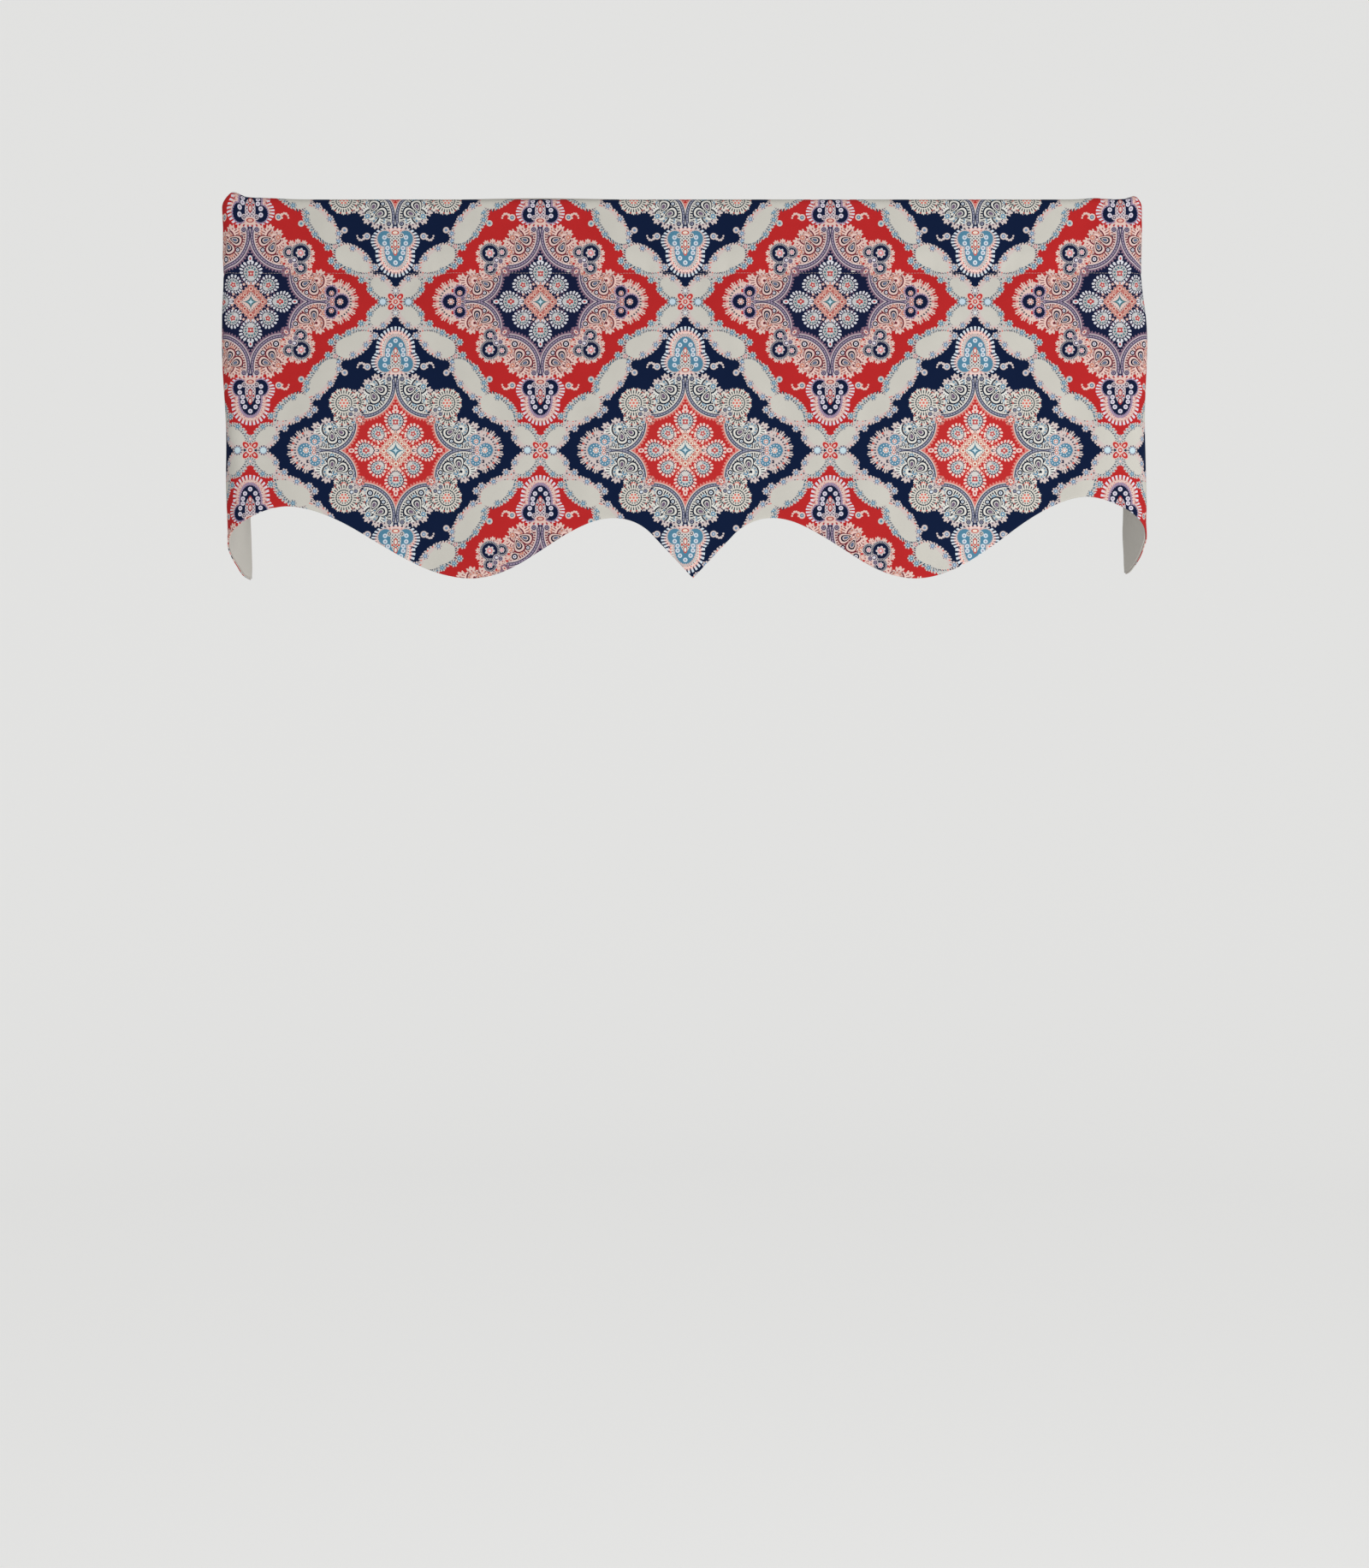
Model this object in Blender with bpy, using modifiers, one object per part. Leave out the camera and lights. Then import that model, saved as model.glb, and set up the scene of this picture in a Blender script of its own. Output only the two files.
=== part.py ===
"""Window valance: a lined valance of printed cotton with a scalloped hem, a rod pocket and two returns.

Metres, +Z up. The front faces -Y and the returns run back along +Y. The origin is the middle of the top
edge, above the rod. Two cloths of one outline hang together: the printed face and the lining behind it.
They touch from the hem up to a row of stitching and part above it, and that space is the rod pocket.

Every point of a cloth has three coordinates here. "Along" runs round the valance from the middle of the
front, with the right return at its positive end. "Drop" is measured down from the top edge. "Depth" is
measured inward from the outer side of the pocket.
"""
import math

import bmesh
import bpy

# Plan: a flat front, two rounded corners and two returns.
FRONT_WIDTH = 1.049
RETURN_DEPTH = 0.112
RETURN_TOE_IN = 0.004
CORNER_RADIUS_TOP = 0.015
CORNER_RADIUS_HEM = 0.032
CORNER_RADIUS_INSIDE = 0.003

# Section: the pocket is a flat loop that the rod fills, closed below by the row of stitching.
POCKET_DEPTH = 0.017
POCKET_STRAIGHT_DROP = 0.060
STITCH_DROP = 0.0845
STITCH_DEPTH = 0.0035
SKIRT_DEPTH = 0.0015
SKIRT_EASE = 0.050
TOP_SEAM_FLAT = 0.0020

# Cloth.
FACE_THICKNESS = 0.0015
LINING_THICKNESS = 0.0010
CLOTH_GAP = 0.0003
LINING_HEM_INSET = 0.0015

# Hem: a pointed middle lobe, then an arch, a round lobe, a wider arch and the lobe of the return.
HEM_CENTRE = 0.0107
POINT_DROP = 0.4332
POINT_SLOPE = 0.95
INNER_ARCH_RADIUS = 0.062
LOBE_FULLNESS = 0.93
INNER_ARCH = {"from_centre": 0.0912, "drop": 0.3640}
LOBE = {"from_centre": 0.2524, "drop": 0.4332}
OUTER_ARCH_LEFT = {"from_centre": 0.4600, "drop": 0.3512}
OUTER_ARCH_RIGHT = {"from_centre": 0.4490, "drop": 0.3402}
RETURN_LOBE_LEFT = {"from_centre": 0.6300, "drop": 0.4232}
RETURN_LOBE_RIGHT = {"from_centre": 0.6180, "drop": 0.4162}

# How far the two sides stand out of the front's half width, from the top edge to the hem.
SIDE_COLUMNS = ("drop", "left", "right")
SIDE_LEAN = (
    (0.000, 0.0048, 0.0004),
    (0.060, 0.0038, 0.0008),
    (0.085, 0.0059, 0.0044),
    (0.165, 0.0063, 0.0081),
    (0.300, 0.0034, 0.0087),
    (0.360, 0.0030, 0.0107),
    (0.400, 0.0035, 0.0130),
)

# Soft folds of the skirt: outward is positive, and each one is deepest at the hem.
FOLD_COLUMNS = ("along", "outward", "half_width")
SOFT_FOLDS = (
    (-0.600, -0.0030, 0.060),
    (-0.470, 0.0030, 0.070),
    (-0.345, -0.0026, 0.090),
    (-0.215, 0.0022, 0.080),
    (-0.100, -0.0018, 0.070),
    (0.010, 0.0028, 0.060),
    (0.105, -0.0020, 0.075),
    (0.240, 0.0024, 0.095),
    (0.375, -0.0030, 0.085),
    (0.478, 0.0026, 0.060),
    (0.600, -0.0024, 0.055),
)

# Small rises of the top edge, where the rod's corners push the pocket up.
RISE_COLUMNS = ("along", "height", "half_width")
TOP_RISES = (
    (-0.5150, 0.0078, 0.012),
    (-0.4850, 0.0020, 0.030),
    (0.4700, 0.0016, 0.016),
    (0.5180, 0.0044, 0.011),
)
RISE_FADE_DROP = 0.035

# Where the lining rolls a little over the seam at the top edge, so that it shows above the print.
LINING_RISES = (
    (-0.1650, 0.0024, 0.090),
    (0.0700, 0.0010, 0.110),
)

# Grid of each cloth.
FRONT_HALF_COLUMNS = 31
CORNER_COLUMNS = 5
RETURN_COLUMNS = 6
SEAM_ROWS = 1
ROLL_ROWS = 3
STRAIGHT_ROWS = 3
PINCH_ROWS = 2
SKIRT_ROWS = 6

PRINT_COLOUR = (0.37, 0.27, 0.27, 1.0)
LINING_COLOUR = (0.62, 0.60, 0.56, 1.0)


def named(columns, row):
    """One row of a table as a dictionary of its column names."""
    return dict(zip(columns, row))


def smooth(fraction):
    """A soft step from 0 to 1."""
    f = min(max(fraction, 0.0), 1.0)
    return f * f * (3.0 - 2.0 * f)


def half_wave(start, end, distance):
    """The drop between two turning points of the hem, which it leaves and reaches level."""
    f = (distance - start["from_centre"]) / (end["from_centre"] - start["from_centre"])
    arch, lobe = sorted((start["drop"], end["drop"]))
    towards_lobe = f if end["drop"] == lobe else 1.0 - f
    ease = 0.5 - 0.5 * math.cos(math.pi * min(max(towards_lobe, 0.0), 1.0))
    return arch + (lobe - arch) * ease**LOBE_FULLNESS


def point_flank(distance):
    """The side of the middle point: a straight flank that runs into the round top of the arch."""
    arch = INNER_ARCH
    run = arch["from_centre"] - distance
    bend = INNER_ARCH_RADIUS * math.sin(math.atan(POINT_SLOPE))
    if run < bend:
        return arch["drop"] + INNER_ARCH_RADIUS - math.sqrt(INNER_ARCH_RADIUS**2 - run**2)
    at_bend = INNER_ARCH_RADIUS - math.sqrt(INNER_ARCH_RADIUS**2 - bend**2)
    rise = POINT_DROP - arch["drop"] - at_bend
    return arch["drop"] + at_bend + rise * (run - bend) / (arch["from_centre"] - bend)


def hem_drop(along):
    """How far the hem hangs below the top edge."""
    offset = along - HEM_CENTRE
    distance = abs(offset)
    outer_arch = OUTER_ARCH_RIGHT if offset > 0.0 else OUTER_ARCH_LEFT
    return_lobe = RETURN_LOBE_RIGHT if offset > 0.0 else RETURN_LOBE_LEFT
    if distance < INNER_ARCH["from_centre"]:
        return point_flank(distance)
    if distance < LOBE["from_centre"]:
        return half_wave(INNER_ARCH, LOBE, distance)
    if distance < outer_arch["from_centre"]:
        return half_wave(LOBE, outer_arch, distance)
    return half_wave(outer_arch, return_lobe, distance)


def towards_hem(drop):
    """A soft step from 0 at the row of stitching to 1 at the lowest point of the hem."""
    return smooth((drop - STITCH_DROP) / (POINT_DROP - STITCH_DROP))


def side_lean(drop, side):
    """How far one side stands out of the half width at a height."""
    rows = [named(SIDE_COLUMNS, row) for row in SIDE_LEAN]
    for upper, lower in zip(rows, rows[1:]):
        if drop <= lower["drop"]:
            f = smooth((drop - upper["drop"]) / (lower["drop"] - upper["drop"]))
            return upper[side] + (lower[side] - upper[side]) * f
    return rows[-1][side]


def soft_folds(along, drop):
    """How far the skirt stands out at a point because of its soft folds."""
    total = 0.0
    for row in SOFT_FOLDS:
        fold = named(FOLD_COLUMNS, row)
        total += fold["outward"] * math.exp(-(((along - fold["along"]) / fold["half_width"]) ** 2))
    return total * towards_hem(drop)


def top_rise(along, drop, rises):
    """How far the cloth stands up near the top edge."""
    fade = 1.0 - smooth(drop / RISE_FADE_DROP)
    total = 0.0
    for row in rises:
        rise = named(RISE_COLUMNS, row)
        total += rise["height"] * math.exp(-(((along - rise["along"]) / rise["half_width"]) ** 2))
    return total * fade


def corner_radius(drop):
    """The outer radius of a corner, which opens towards the hem."""
    return CORNER_RADIUS_TOP + (CORNER_RADIUS_HEM - CORNER_RADIUS_TOP) * towards_hem(drop)


def plan_place(column, depth, drop):
    """The x and y of a grid column at a depth and height, and how far along the outer side it lies."""
    middle = RETURN_COLUMNS + CORNER_COLUMNS + FRONT_HALF_COLUMNS
    sign = 1.0 if column >= middle else -1.0
    steps = abs(column - middle)
    outer_radius = corner_radius(drop)
    radius = max(outer_radius - depth, CORNER_RADIUS_INSIDE)
    half_width = FRONT_WIDTH / 2.0 + side_lean(drop, "right" if sign > 0.0 else "left")
    outer_front_y = -POCKET_DEPTH / 2.0
    front_y = outer_front_y + depth
    straight = half_width - depth - radius
    outer_straight = half_width - outer_radius
    if steps <= FRONT_HALF_COLUMNS:
        f = steps / FRONT_HALF_COLUMNS
        x = HEM_CENTRE + (sign * straight - HEM_CENTRE) * f
        return x, front_y, HEM_CENTRE + (sign * outer_straight - HEM_CENTRE) * f
    steps -= FRONT_HALF_COLUMNS
    if steps <= CORNER_COLUMNS:
        angle = math.radians(90.0) * steps / CORNER_COLUMNS
        x = straight + radius * math.sin(angle)
        y = front_y + radius * (1.0 - math.cos(angle))
        return sign * x, y, sign * (outer_straight + outer_radius * angle)
    f = (steps - CORNER_COLUMNS) / RETURN_COLUMNS
    back_y = outer_front_y + RETURN_DEPTH
    start_y = front_y + radius
    x = half_width - depth - RETURN_TOE_IN * towards_hem(drop) * f
    y = start_y + (back_y - start_y) * f
    quarter = outer_radius * math.radians(90.0)
    return sign * x, y, sign * (outer_straight + quarter + (RETURN_DEPTH - outer_radius) * f)


def face_section(row):
    """Drop, depth and share of the skirt at a grid row of the face's outer side."""
    radius = POCKET_DEPTH / 2.0
    if row <= SEAM_ROWS:
        return 0.0, radius - CLOTH_GAP / 2.0 - TOP_SEAM_FLAT * row / SEAM_ROWS, 0.0
    row -= SEAM_ROWS
    if row <= ROLL_ROWS:
        angle = math.radians(90.0) * row / ROLL_ROWS
        reach = radius - CLOTH_GAP / 2.0 - TOP_SEAM_FLAT
        return radius * (1.0 - math.cos(angle)), reach * (1.0 - math.sin(angle)), 0.0
    row -= ROLL_ROWS
    if row <= STRAIGHT_ROWS:
        return radius + (POCKET_STRAIGHT_DROP - radius) * row / STRAIGHT_ROWS, 0.0, 0.0
    row -= STRAIGHT_ROWS
    if row <= PINCH_ROWS:
        f = row / PINCH_ROWS
        drop = POCKET_STRAIGHT_DROP + (STITCH_DROP - POCKET_STRAIGHT_DROP) * f
        return drop, STITCH_DEPTH * smooth(f), 0.0
    row -= PINCH_ROWS
    return STITCH_DROP, STITCH_DEPTH, row / SKIRT_ROWS


def lining_depth(drop, face_depth, share):
    """Depth of the lining's outer side beside a point of the face."""
    touching = face_depth + FACE_THICKNESS + CLOTH_GAP + LINING_THICKNESS
    if share > 0.0:
        return touching
    mirrored = POCKET_DEPTH - face_depth
    if drop <= POCKET_STRAIGHT_DROP:
        return mirrored
    f = (drop - POCKET_STRAIGHT_DROP) / (STITCH_DROP - POCKET_STRAIGHT_DROP)
    return POCKET_DEPTH + (touching - POCKET_DEPTH) * f


def cloth_point(column, row, is_lining):
    """The place of one grid point on the outer side of a cloth."""
    drop, depth, share = face_section(row)
    if is_lining:
        depth = lining_depth(drop, depth, share)
    if share > 0.0:
        along = plan_place(column, SKIRT_DEPTH, POINT_DROP)[2]
        hem = hem_drop(along) - (LINING_HEM_INSET if is_lining else 0.0)
        drop = STITCH_DROP + (hem - STITCH_DROP) * share
        ease = smooth((drop - STITCH_DROP) / SKIRT_EASE)
        depth += (SKIRT_DEPTH - STITCH_DEPTH) * ease - soft_folds(along, drop)
    x, y, along = plan_place(column, depth, drop)
    rises = TOP_RISES + LINING_RISES if is_lining else TOP_RISES
    return x, y, top_rise(along, drop, rises) - drop


def hang_cloth(name, thickness, is_lining, material, collection):
    """A flat grid of cloth is hung in its true shape and given its thickness."""
    columns = 2 * (FRONT_HALF_COLUMNS + CORNER_COLUMNS + RETURN_COLUMNS)
    rows = SEAM_ROWS + ROLL_ROWS + STRAIGHT_ROWS + PINCH_ROWS + SKIRT_ROWS
    mesh = bpy.data.meshes.new(name)
    flat = bmesh.new()
    bmesh.ops.create_grid(flat, x_segments=columns, y_segments=rows, size=1.0)
    for vertex in flat.verts:
        column = round((vertex.co.x + 1.0) / 2.0 * columns)
        row = round((1.0 - vertex.co.y) / 2.0 * rows)
        vertex.co = cloth_point(column, row, is_lining)
    if is_lining:
        bmesh.ops.reverse_faces(flat, faces=flat.faces[:])
    flat.to_mesh(mesh)
    flat.free()
    cloth = bpy.data.objects.new(name, mesh)
    collection.objects.link(cloth)
    mesh.materials.append(material)
    solidify = cloth.modifiers.new("thickness", "SOLIDIFY")
    solidify.thickness = thickness
    solidify.offset = -1.0
    solidify.use_even_offset = True
    mesh.shade_smooth()
    return cloth


def cloth_material(name, colour, roughness):
    """A plain cloth finish in one colour."""
    material = bpy.data.materials.new(name)
    material.use_nodes = True
    shader = material.node_tree.nodes["Principled BSDF"]
    shader.inputs["Base Color"].default_value = colour
    shader.inputs["Roughness"].default_value = roughness
    shader.inputs["Metallic"].default_value = 0.0
    material.diffuse_color = colour
    return material


def build_valance():
    """The face and the lining, in a collection named for the valance."""
    collection = bpy.data.collections.new("window_valance")
    bpy.context.scene.collection.children.link(collection)
    print_cotton = cloth_material("printed_cotton", PRINT_COLOUR, 0.85)
    lining_cotton = cloth_material("lining_cotton", LINING_COLOUR, 0.9)
    hang_cloth("face_panel", FACE_THICKNESS, False, print_cotton, collection)
    hang_cloth("lining", LINING_THICKNESS, True, lining_cotton, collection)


for leftover in list(bpy.data.objects):
    bpy.data.objects.remove(leftover, do_unlink=True)
build_valance()
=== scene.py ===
"""Looks of the window valance: printed cotton face, plain lining, stitching, stage, lights and camera."""

import bisect
import math

import bmesh
import bpy
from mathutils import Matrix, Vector


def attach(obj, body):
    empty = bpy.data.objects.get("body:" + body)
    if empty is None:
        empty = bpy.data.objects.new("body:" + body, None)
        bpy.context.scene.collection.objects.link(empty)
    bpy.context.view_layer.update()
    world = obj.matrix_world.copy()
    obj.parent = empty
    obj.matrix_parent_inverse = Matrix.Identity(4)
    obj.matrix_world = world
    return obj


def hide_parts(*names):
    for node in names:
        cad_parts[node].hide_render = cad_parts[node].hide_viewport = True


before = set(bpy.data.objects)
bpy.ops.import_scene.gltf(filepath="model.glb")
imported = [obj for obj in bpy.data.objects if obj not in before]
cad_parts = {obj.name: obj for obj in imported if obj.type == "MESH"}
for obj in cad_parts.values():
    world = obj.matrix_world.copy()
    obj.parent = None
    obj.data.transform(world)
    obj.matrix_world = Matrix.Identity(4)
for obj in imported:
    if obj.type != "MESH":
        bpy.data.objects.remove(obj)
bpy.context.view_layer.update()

# Plan: a flat front, two rounded corners and two returns.
FRONT_WIDTH = 1.049
RETURN_DEPTH = 0.112
RETURN_TOE_IN = 0.004
CORNER_RADIUS_TOP = 0.015
CORNER_RADIUS_HEM = 0.032
CORNER_RADIUS_INSIDE = 0.003

# Section: the pocket is a flat loop that the rod fills, closed below by the row of stitching.
POCKET_DEPTH = 0.017
POCKET_STRAIGHT_DROP = 0.060
STITCH_DROP = 0.0845
STITCH_DEPTH = 0.0035
SKIRT_DEPTH = 0.0015
SKIRT_EASE = 0.050
TOP_SEAM_FLAT = 0.0020

# Cloth.
FACE_THICKNESS = 0.0015
LINING_THICKNESS = 0.0010
CLOTH_GAP = 0.0003
LINING_HEM_INSET = 0.0015

# Hem: a pointed middle lobe, then an arch, a round lobe, a wider arch and the lobe of the return.
HEM_CENTRE = 0.0107
POINT_DROP = 0.4332
POINT_SLOPE = 0.95
INNER_ARCH_RADIUS = 0.062
LOBE_FULLNESS = 0.93
INNER_ARCH = {"from_centre": 0.0912, "drop": 0.3640}
LOBE = {"from_centre": 0.2524, "drop": 0.4332}
OUTER_ARCH_LEFT = {"from_centre": 0.4600, "drop": 0.3512}
OUTER_ARCH_RIGHT = {"from_centre": 0.4490, "drop": 0.3402}
RETURN_LOBE_LEFT = {"from_centre": 0.6300, "drop": 0.4232}
RETURN_LOBE_RIGHT = {"from_centre": 0.6180, "drop": 0.4162}

# How far the two sides stand out of the front's half width, from the top edge to the hem.
SIDE_COLUMNS = ("drop", "left", "right")
SIDE_LEAN = (
    (0.000, 0.0048, 0.0004),
    (0.060, 0.0038, 0.0008),
    (0.085, 0.0059, 0.0044),
    (0.165, 0.0063, 0.0081),
    (0.300, 0.0034, 0.0087),
    (0.360, 0.0030, 0.0107),
    (0.400, 0.0035, 0.0130),
)

# Soft folds of the skirt: outward is positive, and each one is deepest at the hem.
FOLD_COLUMNS = ("along", "outward", "half_width")
SOFT_FOLDS = (
    (-0.600, -0.0030, 0.060),
    (-0.470, 0.0030, 0.070),
    (-0.345, -0.0026, 0.090),
    (-0.215, 0.0022, 0.080),
    (-0.100, -0.0018, 0.070),
    (0.010, 0.0028, 0.060),
    (0.105, -0.0020, 0.075),
    (0.240, 0.0024, 0.095),
    (0.375, -0.0030, 0.085),
    (0.478, 0.0026, 0.060),
    (0.600, -0.0024, 0.055),
)

# Small rises of the top edge, where the rod's corners push the pocket up.
RISE_COLUMNS = ("along", "height", "half_width")
TOP_RISES = (
    (-0.5150, 0.0078, 0.012),
    (-0.4850, 0.0020, 0.030),
    (0.4700, 0.0016, 0.016),
    (0.5180, 0.0044, 0.011),
)
RISE_FADE_DROP = 0.035

# Where the lining rolls a little over the seam at the top edge, so that it shows above the print.
LINING_RISES = (
    (-0.1650, 0.0024, 0.090),
    (0.0700, 0.0010, 0.110),
)

# Grid of each cloth.
FRONT_HALF_COLUMNS = 31
CORNER_COLUMNS = 5
RETURN_COLUMNS = 6
SEAM_ROWS = 1
ROLL_ROWS = 3
STRAIGHT_ROWS = 3
PINCH_ROWS = 2
SKIRT_ROWS = 6


def named(columns, row):
    """One row of a table as a dictionary of its column names."""
    return dict(zip(columns, row))


def smooth(fraction):
    """A soft step from 0 to 1."""
    f = min(max(fraction, 0.0), 1.0)
    return f * f * (3.0 - 2.0 * f)


def half_wave(start, end, distance):
    """The drop between two turning points of the hem, which it leaves and reaches level."""
    f = (distance - start["from_centre"]) / (end["from_centre"] - start["from_centre"])
    arch, lobe = sorted((start["drop"], end["drop"]))
    towards_lobe = f if end["drop"] == lobe else 1.0 - f
    ease = 0.5 - 0.5 * math.cos(math.pi * min(max(towards_lobe, 0.0), 1.0))
    return arch + (lobe - arch) * ease**LOBE_FULLNESS


def point_flank(distance):
    """The side of the middle point: a straight flank that runs into the round top of the arch."""
    arch = INNER_ARCH
    run = arch["from_centre"] - distance
    bend = INNER_ARCH_RADIUS * math.sin(math.atan(POINT_SLOPE))
    if run < bend:
        return arch["drop"] + INNER_ARCH_RADIUS - math.sqrt(INNER_ARCH_RADIUS**2 - run**2)
    at_bend = INNER_ARCH_RADIUS - math.sqrt(INNER_ARCH_RADIUS**2 - bend**2)
    rise = POINT_DROP - arch["drop"] - at_bend
    return arch["drop"] + at_bend + rise * (run - bend) / (arch["from_centre"] - bend)


def hem_drop(along):
    """How far the hem hangs below the top edge."""
    offset = along - HEM_CENTRE
    distance = abs(offset)
    outer_arch = OUTER_ARCH_RIGHT if offset > 0.0 else OUTER_ARCH_LEFT
    return_lobe = RETURN_LOBE_RIGHT if offset > 0.0 else RETURN_LOBE_LEFT
    if distance < INNER_ARCH["from_centre"]:
        return point_flank(distance)
    if distance < LOBE["from_centre"]:
        return half_wave(INNER_ARCH, LOBE, distance)
    if distance < outer_arch["from_centre"]:
        return half_wave(LOBE, outer_arch, distance)
    return half_wave(outer_arch, return_lobe, distance)


def towards_hem(drop):
    """A soft step from 0 at the row of stitching to 1 at the lowest point of the hem."""
    return smooth((drop - STITCH_DROP) / (POINT_DROP - STITCH_DROP))


def side_lean(drop, side):
    """How far one side stands out of the half width at a height."""
    rows = [named(SIDE_COLUMNS, row) for row in SIDE_LEAN]
    for upper, lower in zip(rows, rows[1:]):
        if drop <= lower["drop"]:
            f = smooth((drop - upper["drop"]) / (lower["drop"] - upper["drop"]))
            return upper[side] + (lower[side] - upper[side]) * f
    return rows[-1][side]


def soft_folds(along, drop):
    """How far the skirt stands out at a point because of its soft folds."""
    total = 0.0
    for row in SOFT_FOLDS:
        fold = named(FOLD_COLUMNS, row)
        total += fold["outward"] * math.exp(-(((along - fold["along"]) / fold["half_width"]) ** 2))
    return total * towards_hem(drop)


def top_rise(along, drop, rises):
    """How far the cloth stands up near the top edge."""
    fade = 1.0 - smooth(drop / RISE_FADE_DROP)
    total = 0.0
    for row in rises:
        rise = named(RISE_COLUMNS, row)
        total += rise["height"] * math.exp(-(((along - rise["along"]) / rise["half_width"]) ** 2))
    return total * fade


def corner_radius(drop):
    """The outer radius of a corner, which opens towards the hem."""
    return CORNER_RADIUS_TOP + (CORNER_RADIUS_HEM - CORNER_RADIUS_TOP) * towards_hem(drop)


def plan_place(column, depth, drop):
    """The x and y of a grid column at a depth and height, and how far along the outer side it lies."""
    middle = RETURN_COLUMNS + CORNER_COLUMNS + FRONT_HALF_COLUMNS
    sign = 1.0 if column >= middle else -1.0
    steps = abs(column - middle)
    outer_radius = corner_radius(drop)
    radius = max(outer_radius - depth, CORNER_RADIUS_INSIDE)
    half_width = FRONT_WIDTH / 2.0 + side_lean(drop, "right" if sign > 0.0 else "left")
    outer_front_y = -POCKET_DEPTH / 2.0
    front_y = outer_front_y + depth
    straight = half_width - depth - radius
    outer_straight = half_width - outer_radius
    if steps <= FRONT_HALF_COLUMNS:
        f = steps / FRONT_HALF_COLUMNS
        x = HEM_CENTRE + (sign * straight - HEM_CENTRE) * f
        return x, front_y, HEM_CENTRE + (sign * outer_straight - HEM_CENTRE) * f
    steps -= FRONT_HALF_COLUMNS
    if steps <= CORNER_COLUMNS:
        angle = math.radians(90.0) * steps / CORNER_COLUMNS
        x = straight + radius * math.sin(angle)
        y = front_y + radius * (1.0 - math.cos(angle))
        return sign * x, y, sign * (outer_straight + outer_radius * angle)
    f = (steps - CORNER_COLUMNS) / RETURN_COLUMNS
    back_y = outer_front_y + RETURN_DEPTH
    start_y = front_y + radius
    x = half_width - depth - RETURN_TOE_IN * towards_hem(drop) * f
    y = start_y + (back_y - start_y) * f
    quarter = outer_radius * math.radians(90.0)
    return sign * x, y, sign * (outer_straight + quarter + (RETURN_DEPTH - outer_radius) * f)


def face_section(row):
    """Drop, depth and share of the skirt at a grid row of the face's outer side."""
    radius = POCKET_DEPTH / 2.0
    if row <= SEAM_ROWS:
        return 0.0, radius - CLOTH_GAP / 2.0 - TOP_SEAM_FLAT * row / SEAM_ROWS, 0.0
    row -= SEAM_ROWS
    if row <= ROLL_ROWS:
        angle = math.radians(90.0) * row / ROLL_ROWS
        reach = radius - CLOTH_GAP / 2.0 - TOP_SEAM_FLAT
        return radius * (1.0 - math.cos(angle)), reach * (1.0 - math.sin(angle)), 0.0
    row -= ROLL_ROWS
    if row <= STRAIGHT_ROWS:
        return radius + (POCKET_STRAIGHT_DROP - radius) * row / STRAIGHT_ROWS, 0.0, 0.0
    row -= STRAIGHT_ROWS
    if row <= PINCH_ROWS:
        f = row / PINCH_ROWS
        drop = POCKET_STRAIGHT_DROP + (STITCH_DROP - POCKET_STRAIGHT_DROP) * f
        return drop, STITCH_DEPTH * smooth(f), 0.0
    row -= PINCH_ROWS
    return STITCH_DROP, STITCH_DEPTH, row / SKIRT_ROWS


def lining_depth(drop, face_depth, share):
    """Depth of the lining's outer side beside a point of the face."""
    touching = face_depth + FACE_THICKNESS + CLOTH_GAP + LINING_THICKNESS
    if share > 0.0:
        return touching
    mirrored = POCKET_DEPTH - face_depth
    if drop <= POCKET_STRAIGHT_DROP:
        return mirrored
    f = (drop - POCKET_STRAIGHT_DROP) / (STITCH_DROP - POCKET_STRAIGHT_DROP)
    return POCKET_DEPTH + (touching - POCKET_DEPTH) * f


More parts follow.
